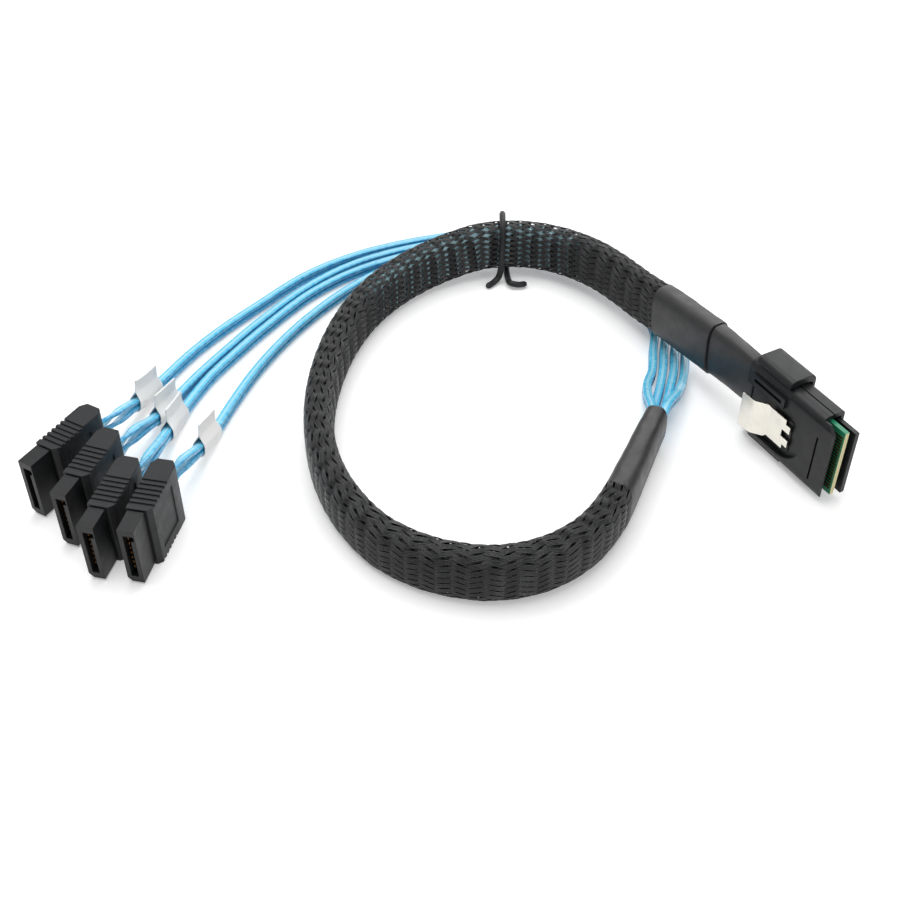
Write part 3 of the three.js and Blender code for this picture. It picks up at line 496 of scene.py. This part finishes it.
def rounded_section(points: int, roundness: float) -> np.ndarray:
    """Makes a closed outline of unit size between an ellipse (1) and a rectangle (0).

    Args:
        points: how many corners it has.
        roundness: the exponent of its sine and cosine.

    Returns:
        One row of (height, width) for each corner.
    """
    angle = (np.arange(points) + 0.5) * 2 * math.pi / points
    outline = np.stack([np.cos(angle), np.sin(angle)], axis=1)
    bent = np.sign(outline) * np.abs(outline) ** roundness
    return bent / np.abs(bent).max() * 0.5


def make_object(name: str, vertices: np.ndarray, faces: list, finish: Finish | None) -> bpy.types.Object:
    """Makes a mesh object in the row frame.

    Args:
        name: the piece's name.
        vertices: points in millimetres.
        faces: corner numbers of each face.
        finish: its finish, if it gets one here.

    Returns:
        The object, linked to the scene.
    """
    mesh = bpy.data.meshes.new(name)
    mesh.from_pydata((np.asarray(vertices) * MM).tolist(), [], faces)
    mesh.update()
    if finish:
        mesh.materials.append(MATERIALS.get(finish))
    thing = bpy.data.objects.new(name, mesh)
    bpy.context.scene.collection.objects.link(thing)
    return thing


def loft(name: str, rings: np.ndarray, finish: Finish) -> bpy.types.Object:
    """Skins a row of rings and closes both ends.

    Args:
        name: the piece's name.
        rings: an array of ring, corner and coordinate, in millimetres, each ring turning right-handed
            about the direction of travel.
        finish: the finish.

    Returns:
        The closed, smooth-shaded object.
    """
    count, sides = rings.shape[:2]
    faces = []
    for i in range(count - 1):
        for j in range(sides):
            k = (j + 1) % sides
            faces.append((i * sides + j, i * sides + k, (i + 1) * sides + k, (i + 1) * sides + j))
    faces.append(tuple(range(sides - 1, -1, -1)))
    faces.append(tuple((count - 1) * sides + j for j in range(sides)))
    thing = make_object(name, rings.reshape(-1, 3), faces, finish)
    thing.data.shade_smooth()
    thing.data.set_sharp_from_angle(angle=math.radians(50))
    return thing


def give_attribute(thing: bpy.types.Object, name: str, kind: str, values: np.ndarray) -> None:
    """Stores one value for each vertex.

    Args:
        thing: the mesh object.
        name: the attribute's name.
        kind: FLOAT or FLOAT_VECTOR.
        values: the values.
    """
    attribute = thing.data.attributes.new(name, kind, "POINT")
    attribute.data.foreach_set("value" if kind == "FLOAT" else "vector", np.asarray(values, float).ravel())


def settle(thing: bpy.types.Object) -> bpy.types.Object:
    """Turns an object with modifiers into one with a plain mesh, under the same name.

    Args:
        thing: the object with live modifiers.

    Returns:
        The new object.
    """
    name = thing.name
    graph = bpy.context.evaluated_depsgraph_get()
    mesh = bpy.data.meshes.new_from_object(thing.evaluated_get(graph), depsgraph=graph)
    bpy.data.objects.remove(thing)
    plain = bpy.data.objects.new(name, mesh)
    plain.name = name
    bpy.context.scene.collection.objects.link(plain)
    return plain


def softened(node: str, name: str, finish: Finish, edge_mm: float) -> bpy.types.Object:
    """Copies a CAD node and rounds its edges, as a mould leaves them.

    Args:
        node: the node's name.
        name: the piece's name.
        finish: the finish.
        edge_mm: the size of the rounding.

    Returns:
        The rounded piece.
    """
    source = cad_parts[node].data
    vertices = np.array([v.co for v in source.vertices]) / MM
    thing = make_object(name, vertices, [tuple(p.vertices) for p in source.polygons], finish)
    shape = bmesh.new()
    shape.from_mesh(thing.data)
    bmesh.ops.remove_doubles(shape, verts=shape.verts, dist=0.002 * MM)
    bmesh.ops.dissolve_limit(shape, angle_limit=math.radians(0.6), verts=shape.verts, edges=shape.edges)
    shape.to_mesh(thing.data)
    shape.free()
    thing.data.shade_smooth()
    bevel = thing.modifiers.new("rounding", "BEVEL")
    bevel.width = edge_mm * MM
    bevel.segments = 2
    bevel.limit_method = "ANGLE"
    bevel.angle_limit = math.radians(34)
    bevel.harden_normals = True
    return settle(thing)


def add_piece(thing: bpy.types.Object, slot: Slot, *nodes: str, body: Body = Body.CABLE) -> bpy.types.Object:
    """Gives a piece its body, hides the nodes it stands for, and reports it.

    Args:
        thing: the finished piece.
        slot: the record's slot; not used.
        nodes: the CAD nodes that it replaces.
        body: what it rides on.

    Returns:
        The same piece.
    """
    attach(thing, body.value)
    if nodes:
        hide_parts(*nodes)
    LOG.info("%s: %d faces on %s", thing.name, len(thing.data.polygons), body.value)
    return thing


@dataclass
class Placement:
    """A place on the table: a point and a turn about the vertical."""

    origin: tuple[float, float] = (0.0, 0.0)
    turn_deg: float = 0.0

    def axes(self) -> np.ndarray:
        """Gives the local x, y and z directions as rows."""
        c, s = math.cos(math.radians(self.turn_deg)), math.sin(math.radians(self.turn_deg))
        return np.array([[c, s, 0.0], [-s, c, 0.0], [0.0, 0.0, 1.0]])

    def to_row(self, points: np.ndarray) -> np.ndarray:
        """Takes points from the local frame to the row frame."""
        return np.asarray(points, float) @ self.axes() + np.array([*self.origin, 0.0])

    def to_local(self, points: np.ndarray) -> np.ndarray:
        """Takes points from the row frame to the local frame."""
        return (np.asarray(points, float) - np.array([*self.origin, 0.0])) @ self.axes().T


@dataclass
class Studio:
    """The camera, lights and floor."""

    eye: tuple[float, float, float] = (-72.15, -202.95, 186.1)
    tilt_down_deg: float = 42.0
    focal_px: float = 1281.9
    frame_px: float = 900.0
    floor_size: float = 4.0
    sensor: float = 36.0
    ambient: float = 0.3
    floor_glow: float = 0.3
    aim: tuple[float, float, float] = (-0.075, 0.02, 0.0)

    def build(self) -> None:
        """Sets up everything that isn't part of the object."""
        self._camera()
        self._floor()
        self._lights()
        bpy.context.scene.view_settings.view_transform = "Standard"

    def _camera(self) -> None:
        """Places the camera, which looks along +Y and down."""
        data = bpy.data.cameras.new("camera")
        data.sensor_width = self.sensor
        data.lens = self.sensor * self.focal_px / self.frame_px
        data.clip_start = 0.005
        camera = bpy.data.objects.new("camera", data)
        camera.location = [c * MM for c in self.eye]
        camera.rotation_euler = (math.radians(90 - self.tilt_down_deg), 0.0, 0.0)
        bpy.context.scene.collection.objects.link(camera)
        bpy.context.scene.camera = camera

    def _seen(self, tree: bpy.types.NodeTree) -> bpy.types.NodeSocket:
        """Gives 1 for rays that the eye follows: straight, off a glossy surface or through a clear one.

        Args:
            tree: the tree that asks.

        Returns:
            The output, 0 or 1.
        """
        path = add_node(tree, "ShaderNodeLightPath")
        either = add_node(tree, "ShaderNodeMath", {
            0: path.outputs["Is Camera Ray"], 1: path.outputs["Is Glossy Ray"],
        }, operation="MAXIMUM")
        return add_node(tree, "ShaderNodeMath", {
            0: either.outputs["Value"], 1: path.outputs["Is Transmission Ray"],
        }, operation="MAXIMUM").outputs["Value"]

    def _floor(self) -> None:
        """Lays a white floor that keeps the object's shadow and looks white to camera and gloss."""
        half = self.floor_size / 2 / MM
        corners = [(-half, -half, 0), (half, -half, 0), (half, half, 0), (-half, half, 0)]
        floor = make_object("floor", corners, [(0, 1, 2, 3)], None)
        material = bpy.data.materials.new("white_paper_sweep")
        material.use_nodes = True
        tree = material.node_tree
        tree.nodes.clear()
        seen = self._seen(tree)
        lift = add_node(tree, "ShaderNodeMath", {0: seen, 1: self.floor_glow}, operation="MULTIPLY")
        shader = add_node(tree, "ShaderNodeBsdfPrincipled", {
            "Base Color": to_linear("#f2f2f2"), "Roughness": 0.9, "Specular IOR Level": 0.1,
            "Emission Color": (1.0, 1.0, 1.0, 1.0), "Emission Strength": lift.outputs["Value"],
        })
        add_node(tree, "ShaderNodeOutputMaterial", {"Surface": shader.outputs["BSDF"]})
        floor.data.materials.append(material)

    def _lights(self) -> None:
        """Hangs a large soft box above, one at the back and a weak one in front."""
        self._soft_box("top_box", (-0.2, 0.15, 0.9), (0.8, 0.8), 7.5)
        self._soft_box("back_box", (0.3, 0.9, 0.55), (0.8, 0.5), 3.4)
        self._soft_box("front_box", (0.7, -0.75, 0.5), (0.6, 0.5), 2.6)
        world = bpy.data.worlds.new("studio")
        world.use_nodes = True
        tree = world.node_tree
        tree.nodes.clear()
        seen = self._seen(tree)
        level = add_node(tree, "ShaderNodeMapRange", {
            "Value": seen, "To Min": self.ambient, "To Max": 1.0,
        })
        back = add_node(tree, "ShaderNodeBackground", {"Strength": level.outputs["Result"]})
        add_node(tree, "ShaderNodeOutputWorld", {"Surface": back.outputs["Background"]})
        bpy.context.scene.world = world

    def _soft_box(self, name: str, place: tuple, size: tuple[float, float], power: float) -> None:
        """Adds one rectangular light that faces the middle of the cable."""
        data = bpy.data.lights.new(name, "AREA")
        data.shape = "RECTANGLE"
        data.size, data.size_y = size
        data.energy = power
        box = bpy.data.objects.new(name, data)
        box.location = place
        aim = Vector(self.aim) - Vector(place)
        box.rotation_euler = aim.to_track_quat("-Z", "Y").to_euler()
        bpy.context.scene.collection.objects.link(box)


@dataclass
class Braid:
    """The expandable sleeve: two families of flat strands of parallel monofilaments, plaited 1 over 1."""

    start: float = 34.0
    end: float = 269.0
    strands: int = 20
    row_pitch: float = 2.9
    filaments: int = 4
    filament_mm: float = 0.27
    filament_pitch: float = 0.29
    crown_mm: float = 0.36
    dip_mm: float = -0.12
    overlap: float = 0.92
    tall: float = 12.4
    wide: float = 6.5
    open_from: float = 58.0
    open_to: float = 138.0
    open_fade: tuple[float, float] = (14.0, 16.0)
    open_narrowing: float = 0.3
    seed: int = 7

    def openness(self, distance: np.ndarray) -> np.ndarray:
        """Tells how far the mesh stands open, from 0 to 1."""
        opens = ease(distance, self.open_from, self.open_from + self.open_fade[0])
        return opens * (1 - ease(distance, self.open_to - self.open_fade[1], self.open_to))

    def _outline(self, inset: float) -> tuple[np.ndarray, np.ndarray]:
        """Draws the section, a set depth inside the outer surface.

        Args:
            inset: that depth.

        Returns:
            The closed outline as (height, width) rows, and the distance round it at each row.
        """
        dense = rounded_section(720, TRUNK_ROUNDNESS) * [self.tall - 2 * inset, self.wide - 2 * inset]
        closed = np.vstack([dense, dense[:1]])
        return closed, np.concatenate([[0.0], np.cumsum(np.linalg.norm(np.diff(closed, axis=0), axis=1))])

    def _spaced_section(self, shift: float, inset: float) -> tuple[np.ndarray, np.ndarray, np.ndarray]:
        """Spaces the strands evenly round the section.

        Args:
            shift: how far to turn them, in spacings.
            inset: how far inside the outer surface they lie.

        Returns:
            Their place, outward direction and direction round the section, as (height, width) rows.
        """
        closed, marks = self._outline(inset)
        wanted = (np.arange(self.strands) + shift) / self.strands * marks[-1]

        def sample(offset: float) -> np.ndarray:
            """Gives the outline a little further round."""
            where = (wanted + offset) % marks[-1]
            return np.stack([np.interp(where, marks, closed[:, k]) for k in range(2)], axis=1)

        around = unit(sample(0.3) - sample(-0.3))
        outward = np.stack([around[:, 1], -around[:, 0]], axis=1)
        return sample(0.0), outward, around

    def _tree(self) -> bpy.types.NodeTree:
        """Builds the tree that lays one bundle of bowed filaments on each point.

        Returns:
            The geometry tree.
        """
        tree = bpy.data.node_groups.new("plait", "GeometryNodeTree")
        face = tree.interface
        face.new_socket("Geometry", in_out="INPUT", socket_type="NodeSocketGeometry")
        for name in ("Float Length", "Crown", "Dip", "Filament Diameter", "Filament Pitch"):
            face.new_socket(name, in_out="INPUT", socket_type="NodeSocketFloat")
        for name in ("Filaments", "Seed"):
            face.new_socket(name, in_out="INPUT", socket_type="NodeSocketInt")
        face.new_socket("Material", in_out="INPUT", socket_type="NodeSocketMaterial")
        face.new_socket("Geometry", in_out="OUTPUT", socket_type="NodeSocketGeometry")
        given = add_node(tree, "NodeGroupInput").outputs
        half = add_node(tree, "ShaderNodeMath", {0: given["Float Length"], 1: 0.5}, operation="MULTIPLY")
        minus = add_node(tree, "ShaderNodeMath", {0: half.outputs[0], 1: -1.0}, operation="MULTIPLY")
        double = add_node(tree, "ShaderNodeMath", {0: given["Crown"], 1: 2.0}, operation="MULTIPLY")
        middle = add_node(tree, "ShaderNodeMath", {
            0: double.outputs[0], 1: given["Dip"],
        }, operation="SUBTRACT")
        start, end = (add_node(tree, "ShaderNodeCombineXYZ", {0: reach.outputs[0], 2: given["Dip"]})
                      for reach in (minus, half))
        bow = add_node(tree, "GeometryNodeCurveQuadraticBezier", {
            "Resolution": 5,
            "Start": start.outputs[0],
            "Middle": add_node(tree, "ShaderNodeCombineXYZ", {2: middle.outputs[0]}).outputs[0],
            "End": end.outputs[0],
        })
        radius = add_node(tree, "ShaderNodeMath", {
            0: given["Filament Diameter"], 1: 0.5,
        }, operation="MULTIPLY")
        profile = add_node(tree, "GeometryNodeCurvePrimitiveCircle", {
            "Resolution": 5, "Radius": radius.outputs[0],
        })
        filament = add_node(tree, "GeometryNodeCurveToMesh", {
            "Curve": bow.outputs[0], "Profile Curve": profile.outputs[0], "Fill Caps": True,
        })
        gaps = add_node(tree, "ShaderNodeMath", {0: given["Filaments"], 1: 1.0}, operation="SUBTRACT")
        span = add_node(tree, "ShaderNodeMath", {0: gaps.outputs[0], 1: given["Filament Pitch"]},
                        operation="MULTIPLY")
        first = add_node(tree, "ShaderNodeMath", {0: span.outputs[0], 1: -0.5}, operation="MULTIPLY")
        row = add_node(tree, "GeometryNodeMeshLine", {
            "Count": given["Filaments"],
            "Start Location": add_node(tree, "ShaderNodeCombineXYZ", {1: first.outputs[0]}).outputs[0],
            "Offset": add_node(tree, "ShaderNodeCombineXYZ", {1: given["Filament Pitch"]}).outputs[0],
        })
        strand = add_node(tree, "GeometryNodeInstanceOnPoints", {
            "Points": row.outputs[0], "Instance": filament.outputs[0],
        })
        along, outward, stretch = (
            add_node(tree, "GeometryNodeInputNamedAttribute", {"Name": name}, data_type="FLOAT_VECTOR")
            for name in ("along", "outward", "stretch"))
        turn = add_node(tree, "FunctionNodeAxesToRotation", {
            0: along.outputs[0], 1: outward.outputs[0],
        }, primary_axis="X", secondary_axis="Z")
        laid = add_node(tree, "GeometryNodeInstanceOnPoints", {
            "Points": given["Geometry"], "Instance": strand.outputs[0],
            "Rotation": turn.outputs[0], "Scale": stretch.outputs[0],
        })
        chance = add_node(tree, "FunctionNodeRandomValue", {"Seed": given["Seed"]}, data_type="FLOAT")
        shaded = add_node(tree, "GeometryNodeStoreNamedAttribute", {
            "Geometry": laid.outputs[0], "Name": "shade", "Value": chance.outputs[1],
        }, data_type="FLOAT", domain="INSTANCE")
        real = add_node(tree, "GeometryNodeRealizeInstances", {"Geometry": shaded.outputs[0]})
        smooth = add_node(tree, "GeometryNodeSetShadeSmooth", {"Geometry": real.outputs[0]})
        dressed = add_node(tree, "GeometryNodeSetMaterial", {
            "Geometry": smooth.outputs[0], "Material": given["Material"],
        })
        add_node(tree, "NodeGroupOutput", {"Geometry": dressed.outputs[0]})
        return tree

    def _family(self, route: Route, parity: int, tree: bpy.types.NodeTree) -> bpy.types.Object:
        """Lays every float of one family of strands.

        Args:
            route: the trunk's route.
            parity: 0 for the strands that lean one way, 1 for the others.
            tree: the plait tree.

        Returns:
            The finished family as one piece.
        """
        inset = self.crown_mm + self.filament_mm / 2
        rows = int((self.end - self.start) / self.row_pitch)
        marks = self.start + (np.arange(rows) + 0.5) * (self.end - self.start) / rows
        distance = marks[parity::2]
        place, outward, around = self._spaced_section(0.5 * parity, inset)
        _, _, side, up = route.frames(distance)

        def across(offsets: np.ndarray, side: np.ndarray, up: np.ndarray) -> np.ndarray:
            """Turns (height, width) rows into directions at every distance."""
            return offsets[None, :, :1] * up[:, None] + offsets[None, :, 1:] * side[:, None]

        def laid(shift: float) -> np.ndarray:
            """Gives every point of the family, moved along the route by a shift."""
            centre, _, side, up = route.frames(distance + shift)
            return centre[:, None] + across(place, side, up)

        travel = laid(0.5) - laid(-0.5)
        local = np.linalg.norm(travel, axis=-1)
        lateral = self._outline(0.0)[1][-1] / self.strands
        lean = (0.5 * lateral / self.row_pitch) * (1 if parity else -1)
        along = unit(unit(travel) + across(around, side, up) * lean)
        narrow = 1 - self.open_narrowing * self.openness(distance)
        stretch = np.stack([
            local, np.broadcast_to(narrow[:, None], local.shape), np.ones_like(local),
        ], axis=-1)
        carrier = make_object(f"sleeve_strands_{parity + 1}", laid(0.0).reshape(-1, 3), [], None)
        give_attribute(carrier, "along", "FLOAT_VECTOR", along)
        give_attribute(carrier, "outward", "FLOAT_VECTOR", across(outward, side, up))
        give_attribute(carrier, "stretch", "FLOAT_VECTOR", stretch)
        modifier = carrier.modifiers.new("plait", "NODES")
        modifier.node_group = tree
        sizes = {
            "Float Length": 2 * self.row_pitch * self.overlap * MM, "Crown": self.crown_mm * MM,
            "Dip": self.dip_mm * MM, "Filament Diameter": self.filament_mm * MM,
            "Filament Pitch": self.filament_pitch * MM, "Filaments": self.filaments,
            "Seed": self.seed + parity, "Material": MATERIALS.get(FILAMENT),
        }
        sockets = {s.name: s.identifier for s in tree.interface.items_tree if s.in_out == "INPUT"}
        for name, value in sizes.items():
            modifier[sockets[name]] = value
        return settle(carrier)

    def build(self, route: Route) -> list[bpy.types.Object]:
        """Makes both families.

        Args:
            route: the trunk's route.

        Returns:
            The two pieces.
        """
        tree = self._tree()
        return [add_piece(self._family(route, parity, tree), Slot.BRAID) for parity in (0, 1)]


@dataclass
class Trunk:
    """The trunk from the wide plug to the breakout: bundle, braid, three shrink tubes and the tie."""

    gap: float = 0.15
    inner_end: float = 15.0
    outer_end: float = 35.0
    sleeve_end: float = 268.0
    step: float = 1.0
    lip: float = 0.35
    core_step: float = 1.5
    core_tall: tuple[float, ...] = (11.2, 11.4, 10.7, 10.7, 8.6)
    core_wide: tuple[float, ...] = (3.4, 3.8, 4.8, 4.8, 3.8)
    tie_mm: float = 1.5
    braid: Braid = field(default_factory=Braid)

    def __post_init__(self) -> None:
        """Measures the route."""
        self.route = Route(TRUNK_ROUTE)

    def _rings(self, distance: np.ndarray, section: np.ndarray, tall: np.ndarray,
               wide: np.ndarray) -> np.ndarray:
        """Places one section at each distance along the route.

        Args:
            distance: distances from the wide plug.
            section: the unit section.
            tall: height factors, one row for each distance.
            wide: width factors, likewise.

        Returns:
            The rings.
        """
        centre, _, side, up = self.route.frames(distance)
        tall_part = section[None, :, 0] * tall
        wide_part = section[None, :, 1] * wide
        return centre[:, None] + tall_part[..., None] * up[:, None] + wide_part[..., None] * side[:, None]

    def _tube(self, name: str, start: float, end: float, tall: tuple[float, float],
              wide: tuple[float, float], swell: float) -> bpy.types.Object:
        """Makes one closed shrink tube on a stretch of the route.

        Args:
            name: the piece's name.
            start: where it starts, from the wide plug.
            end: where it ends.
            tall: its height at its two ends.
            wide: its width at its two ends.
            swell: how uneven its surface is.

        Returns:
            The tube.
        """
        distance = np.linspace(start, end, max(4, int((end - start) / self.step)))
        distance = np.concatenate([[start, start + 0.05], distance[1:-1], [end - 0.05, end]])
        share = (distance - start) / (end - start)
        height = tall[0] + (tall[1] - tall[0]) * share
        width = wide[0] + (wide[1] - wide[0]) * share
        section = rounded_section(48, TRUNK_ROUNDNESS)
        wave = 1 + swell * (np.sin(distance[:, None] * 0.9 + 6 * section[None, :, 0])
                            * np.cos(distance[:, None] * 0.37 + 9 * section[None, :, 1]) - 1)
        ends = np.ones(len(distance))
        ends[[0, -1]] = 1 - self.lip / height.mean()
        uneven = wave * ends[:, None]
        rings = self._rings(distance, section, height[:, None] * uneven, width[:, None] * uneven)
        return loft(name, rings, SHRINK)

    def _core(self) -> bpy.types.Object:
        """Makes the bundle that runs the trunk's whole length inside braid and shrink tubes."""
        distance = np.linspace(0.05, self.route.length - 0.05, int(self.route.length / self.core_step))
        section = rounded_section(32, TRUNK_ROUNDNESS)
        marks = [0, self.inner_end, self.outer_end, self.sleeve_end, self.route.length]
        height, width = (np.interp(distance, marks, sizes) for sizes in (self.core_tall, self.core_wide))
        core = loft("trunk_bundle", self._rings(distance, section, height[:, None], width[:, None]), CORE)
        # The braid's openness marks where the bundle turns from painted shade to painted light
        give_attribute(core, "open_painted_light", "FLOAT", np.repeat(self.braid.openness(distance), len(section)))
        return core

    def _tie(self) -> bpy.types.Object:
        """Makes the coated tie that loops round trunk and ribbons."""
        route = Route(TIE_ROUTE)
        distance = np.linspace(0, route.length, int(route.length / 0.5))
        centre, direction = route.at(distance), route.tangent(distance)
        first = np.array([1.0, 0.0, 0.0])
        normals = []
        for heading in direction:
            first = unit(first - heading * np.dot(first, heading))
            normals.append(first)
        normal = np.array(normals)
        binormal = np.cross(direction, normal)
        section = rounded_section(16, 0.9) * self.tie_mm
        shrink = np.ones(len(distance))
        shrink[[0, -1]] = 0.7
        offsets = section[None] * shrink[:, None, None]
        rings = centre[:, None] + offsets[..., :1] * normal[:, None] + offsets[..., 1:] * binormal[:, None]
        return loft("coated_tie", rings, PVC)

    def build(self) -> bpy.types.Object:
        """Returns:
            The bundle, which is the cord itself.
        """
        core = add_piece(self._core(), Slot.BRAID, "braided_sleeve")
        strands = self.braid.build(self.route)
        tubes = [add_piece(self._tube(name, start, end, tall, wide, swell), Slot.SHRINK, node)
                 for name, node, start, end, tall, wide, swell in (
            ("inner_shrink_tube", "host_inner_shrink", 0, self.inner_end - self.gap,
             (12.2, 12.8), (4.2, 5.2), 0.008),
            ("outer_shrink_tube", "host_outer_shrink", self.inner_end + self.gap, self.outer_end - self.gap,
             (13.2, 12.9), (6.2, 7.0), 0.01),
            ("breakout_shrink_tube", "breakout_shrink", self.sleeve_end + self.gap, self.route.length,
             (12.4, 10.4), (6.5, 5.2), 0.01),
        )]
        tie = add_piece(self._tie(), Slot.GRIP, "twist_tie")
        path = self.route.at(np.linspace(0, self.route.length, 120)) * MM
        return core


@dataclass
class RibbonPair:
    """Two flat ribbons, one above the other, that run to one drive plug, with their paper flag."""

    number: int
    flag_from_plug: float
    ribbon_wide: float = 2.0
    ribbon_thick: float = 1.1
    level_pitch: float = 1.4
    edge_pitch: float = 2.4
    spread: tuple[float, float] = (18.0, 10.0)
    roll: tuple[float, float] = (10.0, 3.0)
    waist: float = 0.16
    flag_length: float = 9.4
    flag_tall: float = 7.2
    flag_wall: float = 0.2
    seat_gap: float = 0.3

    def __post_init__(self) -> None:
        """Measures the pair's route."""
        self.route = Route(PAIR_ROUTES[self.number - 1])

    def _line(self, level: int) -> np.ndarray:
        """Gives one ribbon's centreline, every 1.4 mm."""
        distance = np.linspace(0, self.route.length, int(self.route.length / 1.4))
        to_end = self.route.length - distance
        parted = ease(-to_end, -self.spread[0], -self.spread[1])
        pitch = self.level_pitch + (self.edge_pitch - self.level_pitch) * parted
        return self.route.at(distance) + UP * ((level - 0.5) * pitch)[:, None]

    def _ribbon(self, level: int) -> tuple[bpy.types.Object, np.ndarray]:
        """Makes one ribbon with its two rounded lobes.

        Args:
            level: 0 for the lower one, 1 for the upper.

        Returns:
            The ribbon and its centreline in millimetres.
        """
        line = self._line(level)
        direction = unit(np.gradient(line, axis=0))
        side = unit(np.cross(direction, UP))
        up = np.cross(side, direction)
        steps = np.linalg.norm(np.diff(line, axis=0), axis=1)
        to_end = steps.sum() - np.concatenate([[0.0], np.cumsum(steps)])
        angle = (math.pi / 2 * ease(-to_end, -self.roll[0], -self.roll[1]))[:, None]
        tall_way = up * np.cos(angle) + np.cross(direction, up) * np.sin(angle)
        wide_way = side * np.cos(angle) + np.cross(direction, side) * np.sin(angle)
        section = rounded_section(24, 0.66)
        across = np.abs(section[:, 1]) * 2
        pinch = 1 - self.waist * np.clip(1 - across / 0.35, 0, 1)
        offsets = section * [self.ribbon_thick, self.ribbon_wide]
        offsets[:, 0] *= pinch
        tall_part = offsets[None, :, :1] * tall_way[:, None]
        wide_part = offsets[None, :, 1:] * wide_way[:, None]
        rings = line[:, None] + tall_part + wide_part
        name = "upper" if level else "lower"
        ribbon = loft(f"ribbon_{self.number}_{name}_film", rings, JACKET)
        give_attribute(ribbon, "across", "FLOAT", np.tile(across, len(line)))
        return ribbon, line

    def _flag(self) -> bpy.types.Object:
        """Makes the paper strip folded round the pair, its two ends stuck together above."""
        middle = self.route.length - self.flag_from_plug
        distance = np.linspace(middle - self.flag_length / 2, middle + self.flag_length / 2, 9)
        centre, _, side, up = self.route.frames(distance)
        wide = self.ribbon_wide / 2 + self.seat_gap + self.flag_wall / 2
        tall = self.level_pitch / 2 + self.ribbon_thick / 2 + self.seat_gap
        half = np.array([
            (self.flag_tall - tall, 0.1), (tall + 1.5, 0.1), (tall + 0.7, wide * 0.4),
            (tall * 0.6, wide * 0.93), (0.0, wide), (-tall * 0.6, wide * 0.93),
            (-tall - 0.05, wide * 0.5), (-tall - 0.1, 0.0),
        ])
        profile = np.vstack([half, (half * [1, -1])[-2::-1]])
        smooth = Route([(a, b, 0.0) for a, b in profile], 6).points[:, :2]
        sheet = centre[:, None] + smooth[None, :, :1] * up[:, None] + smooth[None, :, 1:] * side[:, None]
        rows, columns = sheet.shape[:2]
        faces = [(i * columns + j, i * columns + j + 1, (i + 1) * columns + j + 1, (i + 1) * columns + j)
                 for i in range(rows - 1) for j in range(columns - 1)]
        flag = make_object(f"flag_{self.number}_paper", sheet.reshape(-1, 3), faces, PAPER)
        wall = flag.modifiers.new("paper", "SOLIDIFY")
        wall.thickness = self.flag_wall * MM * 0.8
        wall.offset = 0.0
        plain = settle(flag)
        plain.data.shade_smooth()
        plain.data.set_sharp_from_angle(angle=math.radians(40))
        return plain

    def build(self) -> None:
        for level, node in enumerate(("lower", "upper")):
            ribbon, line = self._ribbon(level)
            add_piece(ribbon, Slot.JACKET, f"ribbon_{self.number}_{node}")
        add_piece(self._flag(), Slot.PAPER, f"flag_{self.number}")


@dataclass
class DrivePlug:
    """A narrow plug: insulator, contact strip and moulded grip."""

    number: int
    nose_edge: float = 0.12
    grip_edge: float = 0.3
    contact_edge: float = 0.03

    def build(self) -> None:
        """Dresses the plug's three nodes."""
        for part, made, finish, edge, slot in (
            ("insulator", "insulator_moulding", NYLON, self.nose_edge, Slot.NYLON),
            ("grip", "grip_moulding", PVC, self.grip_edge, Slot.GRIP),
            ("contacts", "contact_strip", GOLD, self.contact_edge, Slot.GOLD),
        ):
            node = f"drive_{self.number}_{part}"
            add_piece(softened(node, f"drive_{self.number}_{made}", finish, edge), slot, node)


@dataclass
class HostPlug:
    """The wide plug: two shells, the cover, the card with its fingers, and the steel latch."""

    place: Placement = field(default_factory=lambda: Placement((0.0, 0.0), HOST_TURN_DEG))
    shell_edge: float = 0.25
    block_edge: float = 0.3
    latch_edge: float = 0.05
    card_half: float = 0.5
    card_middle: float = -0.3

    def _card(self) -> bpy.types.Object:
        """Makes the card, green on its faces, cream at its routed front and gold on its fingers."""
        card = softened("host_paddle_card", "card_with_fingers", MASK, 0.02)
        card.data.materials.append(MATERIALS.get(LAMINATE_EDGE))
        card.data.materials.append(MATERIALS.get(GOLD))
        for polygon in card.data.polygons:
            centre = self.place.to_local(np.array(polygon.center) / MM)
            normal = self.place.axes() @ np.array(polygon.normal)
            if abs(centre[1] - self.card_middle) > self.card_half + 0.01:
                polygon.material_index = 2
            elif normal[0] > 0.9:
                polygon.material_index = 1
        return card

    def build(self) -> None:
        """Dresses the plug."""
        for node, name in (("host_latch_shell", "latch_side_shell"), ("host_back_shell", "back_side_shell"),
                           ("host_cover", "saddle_cover")):
            add_piece(softened(node, name, NYLON, self.shell_edge), Slot.NYLON, node)
        add_piece(self._card(), Slot.LAMINATE, "host_paddle_card")
        block = softened("host_wire_block", "potted_wire_block", RESIN, self.block_edge)
        add_piece(block, Slot.RESIN, "host_wire_block")
        latch = softened("host_latch", "steel_latch", STEEL, self.latch_edge)
        add_piece(latch, Slot.STEEL, "host_latch", body=Body.LATCH)


def main() -> None:
    """Builds the camera and cords first, then every other piece."""
    logging.basicConfig(level=logging.INFO, format="%(name)s %(message)s")
    Studio().build()
    Trunk().build()
    for number, from_plug in enumerate((21.0, 24.0, 27.0, 22.0), start=1):
        RibbonPair(number, from_plug).build()
    for number in (1, 2, 3, 4):
        DrivePlug(number).build()
    HostPlug().build()


if __name__ == "__main__":
    main()
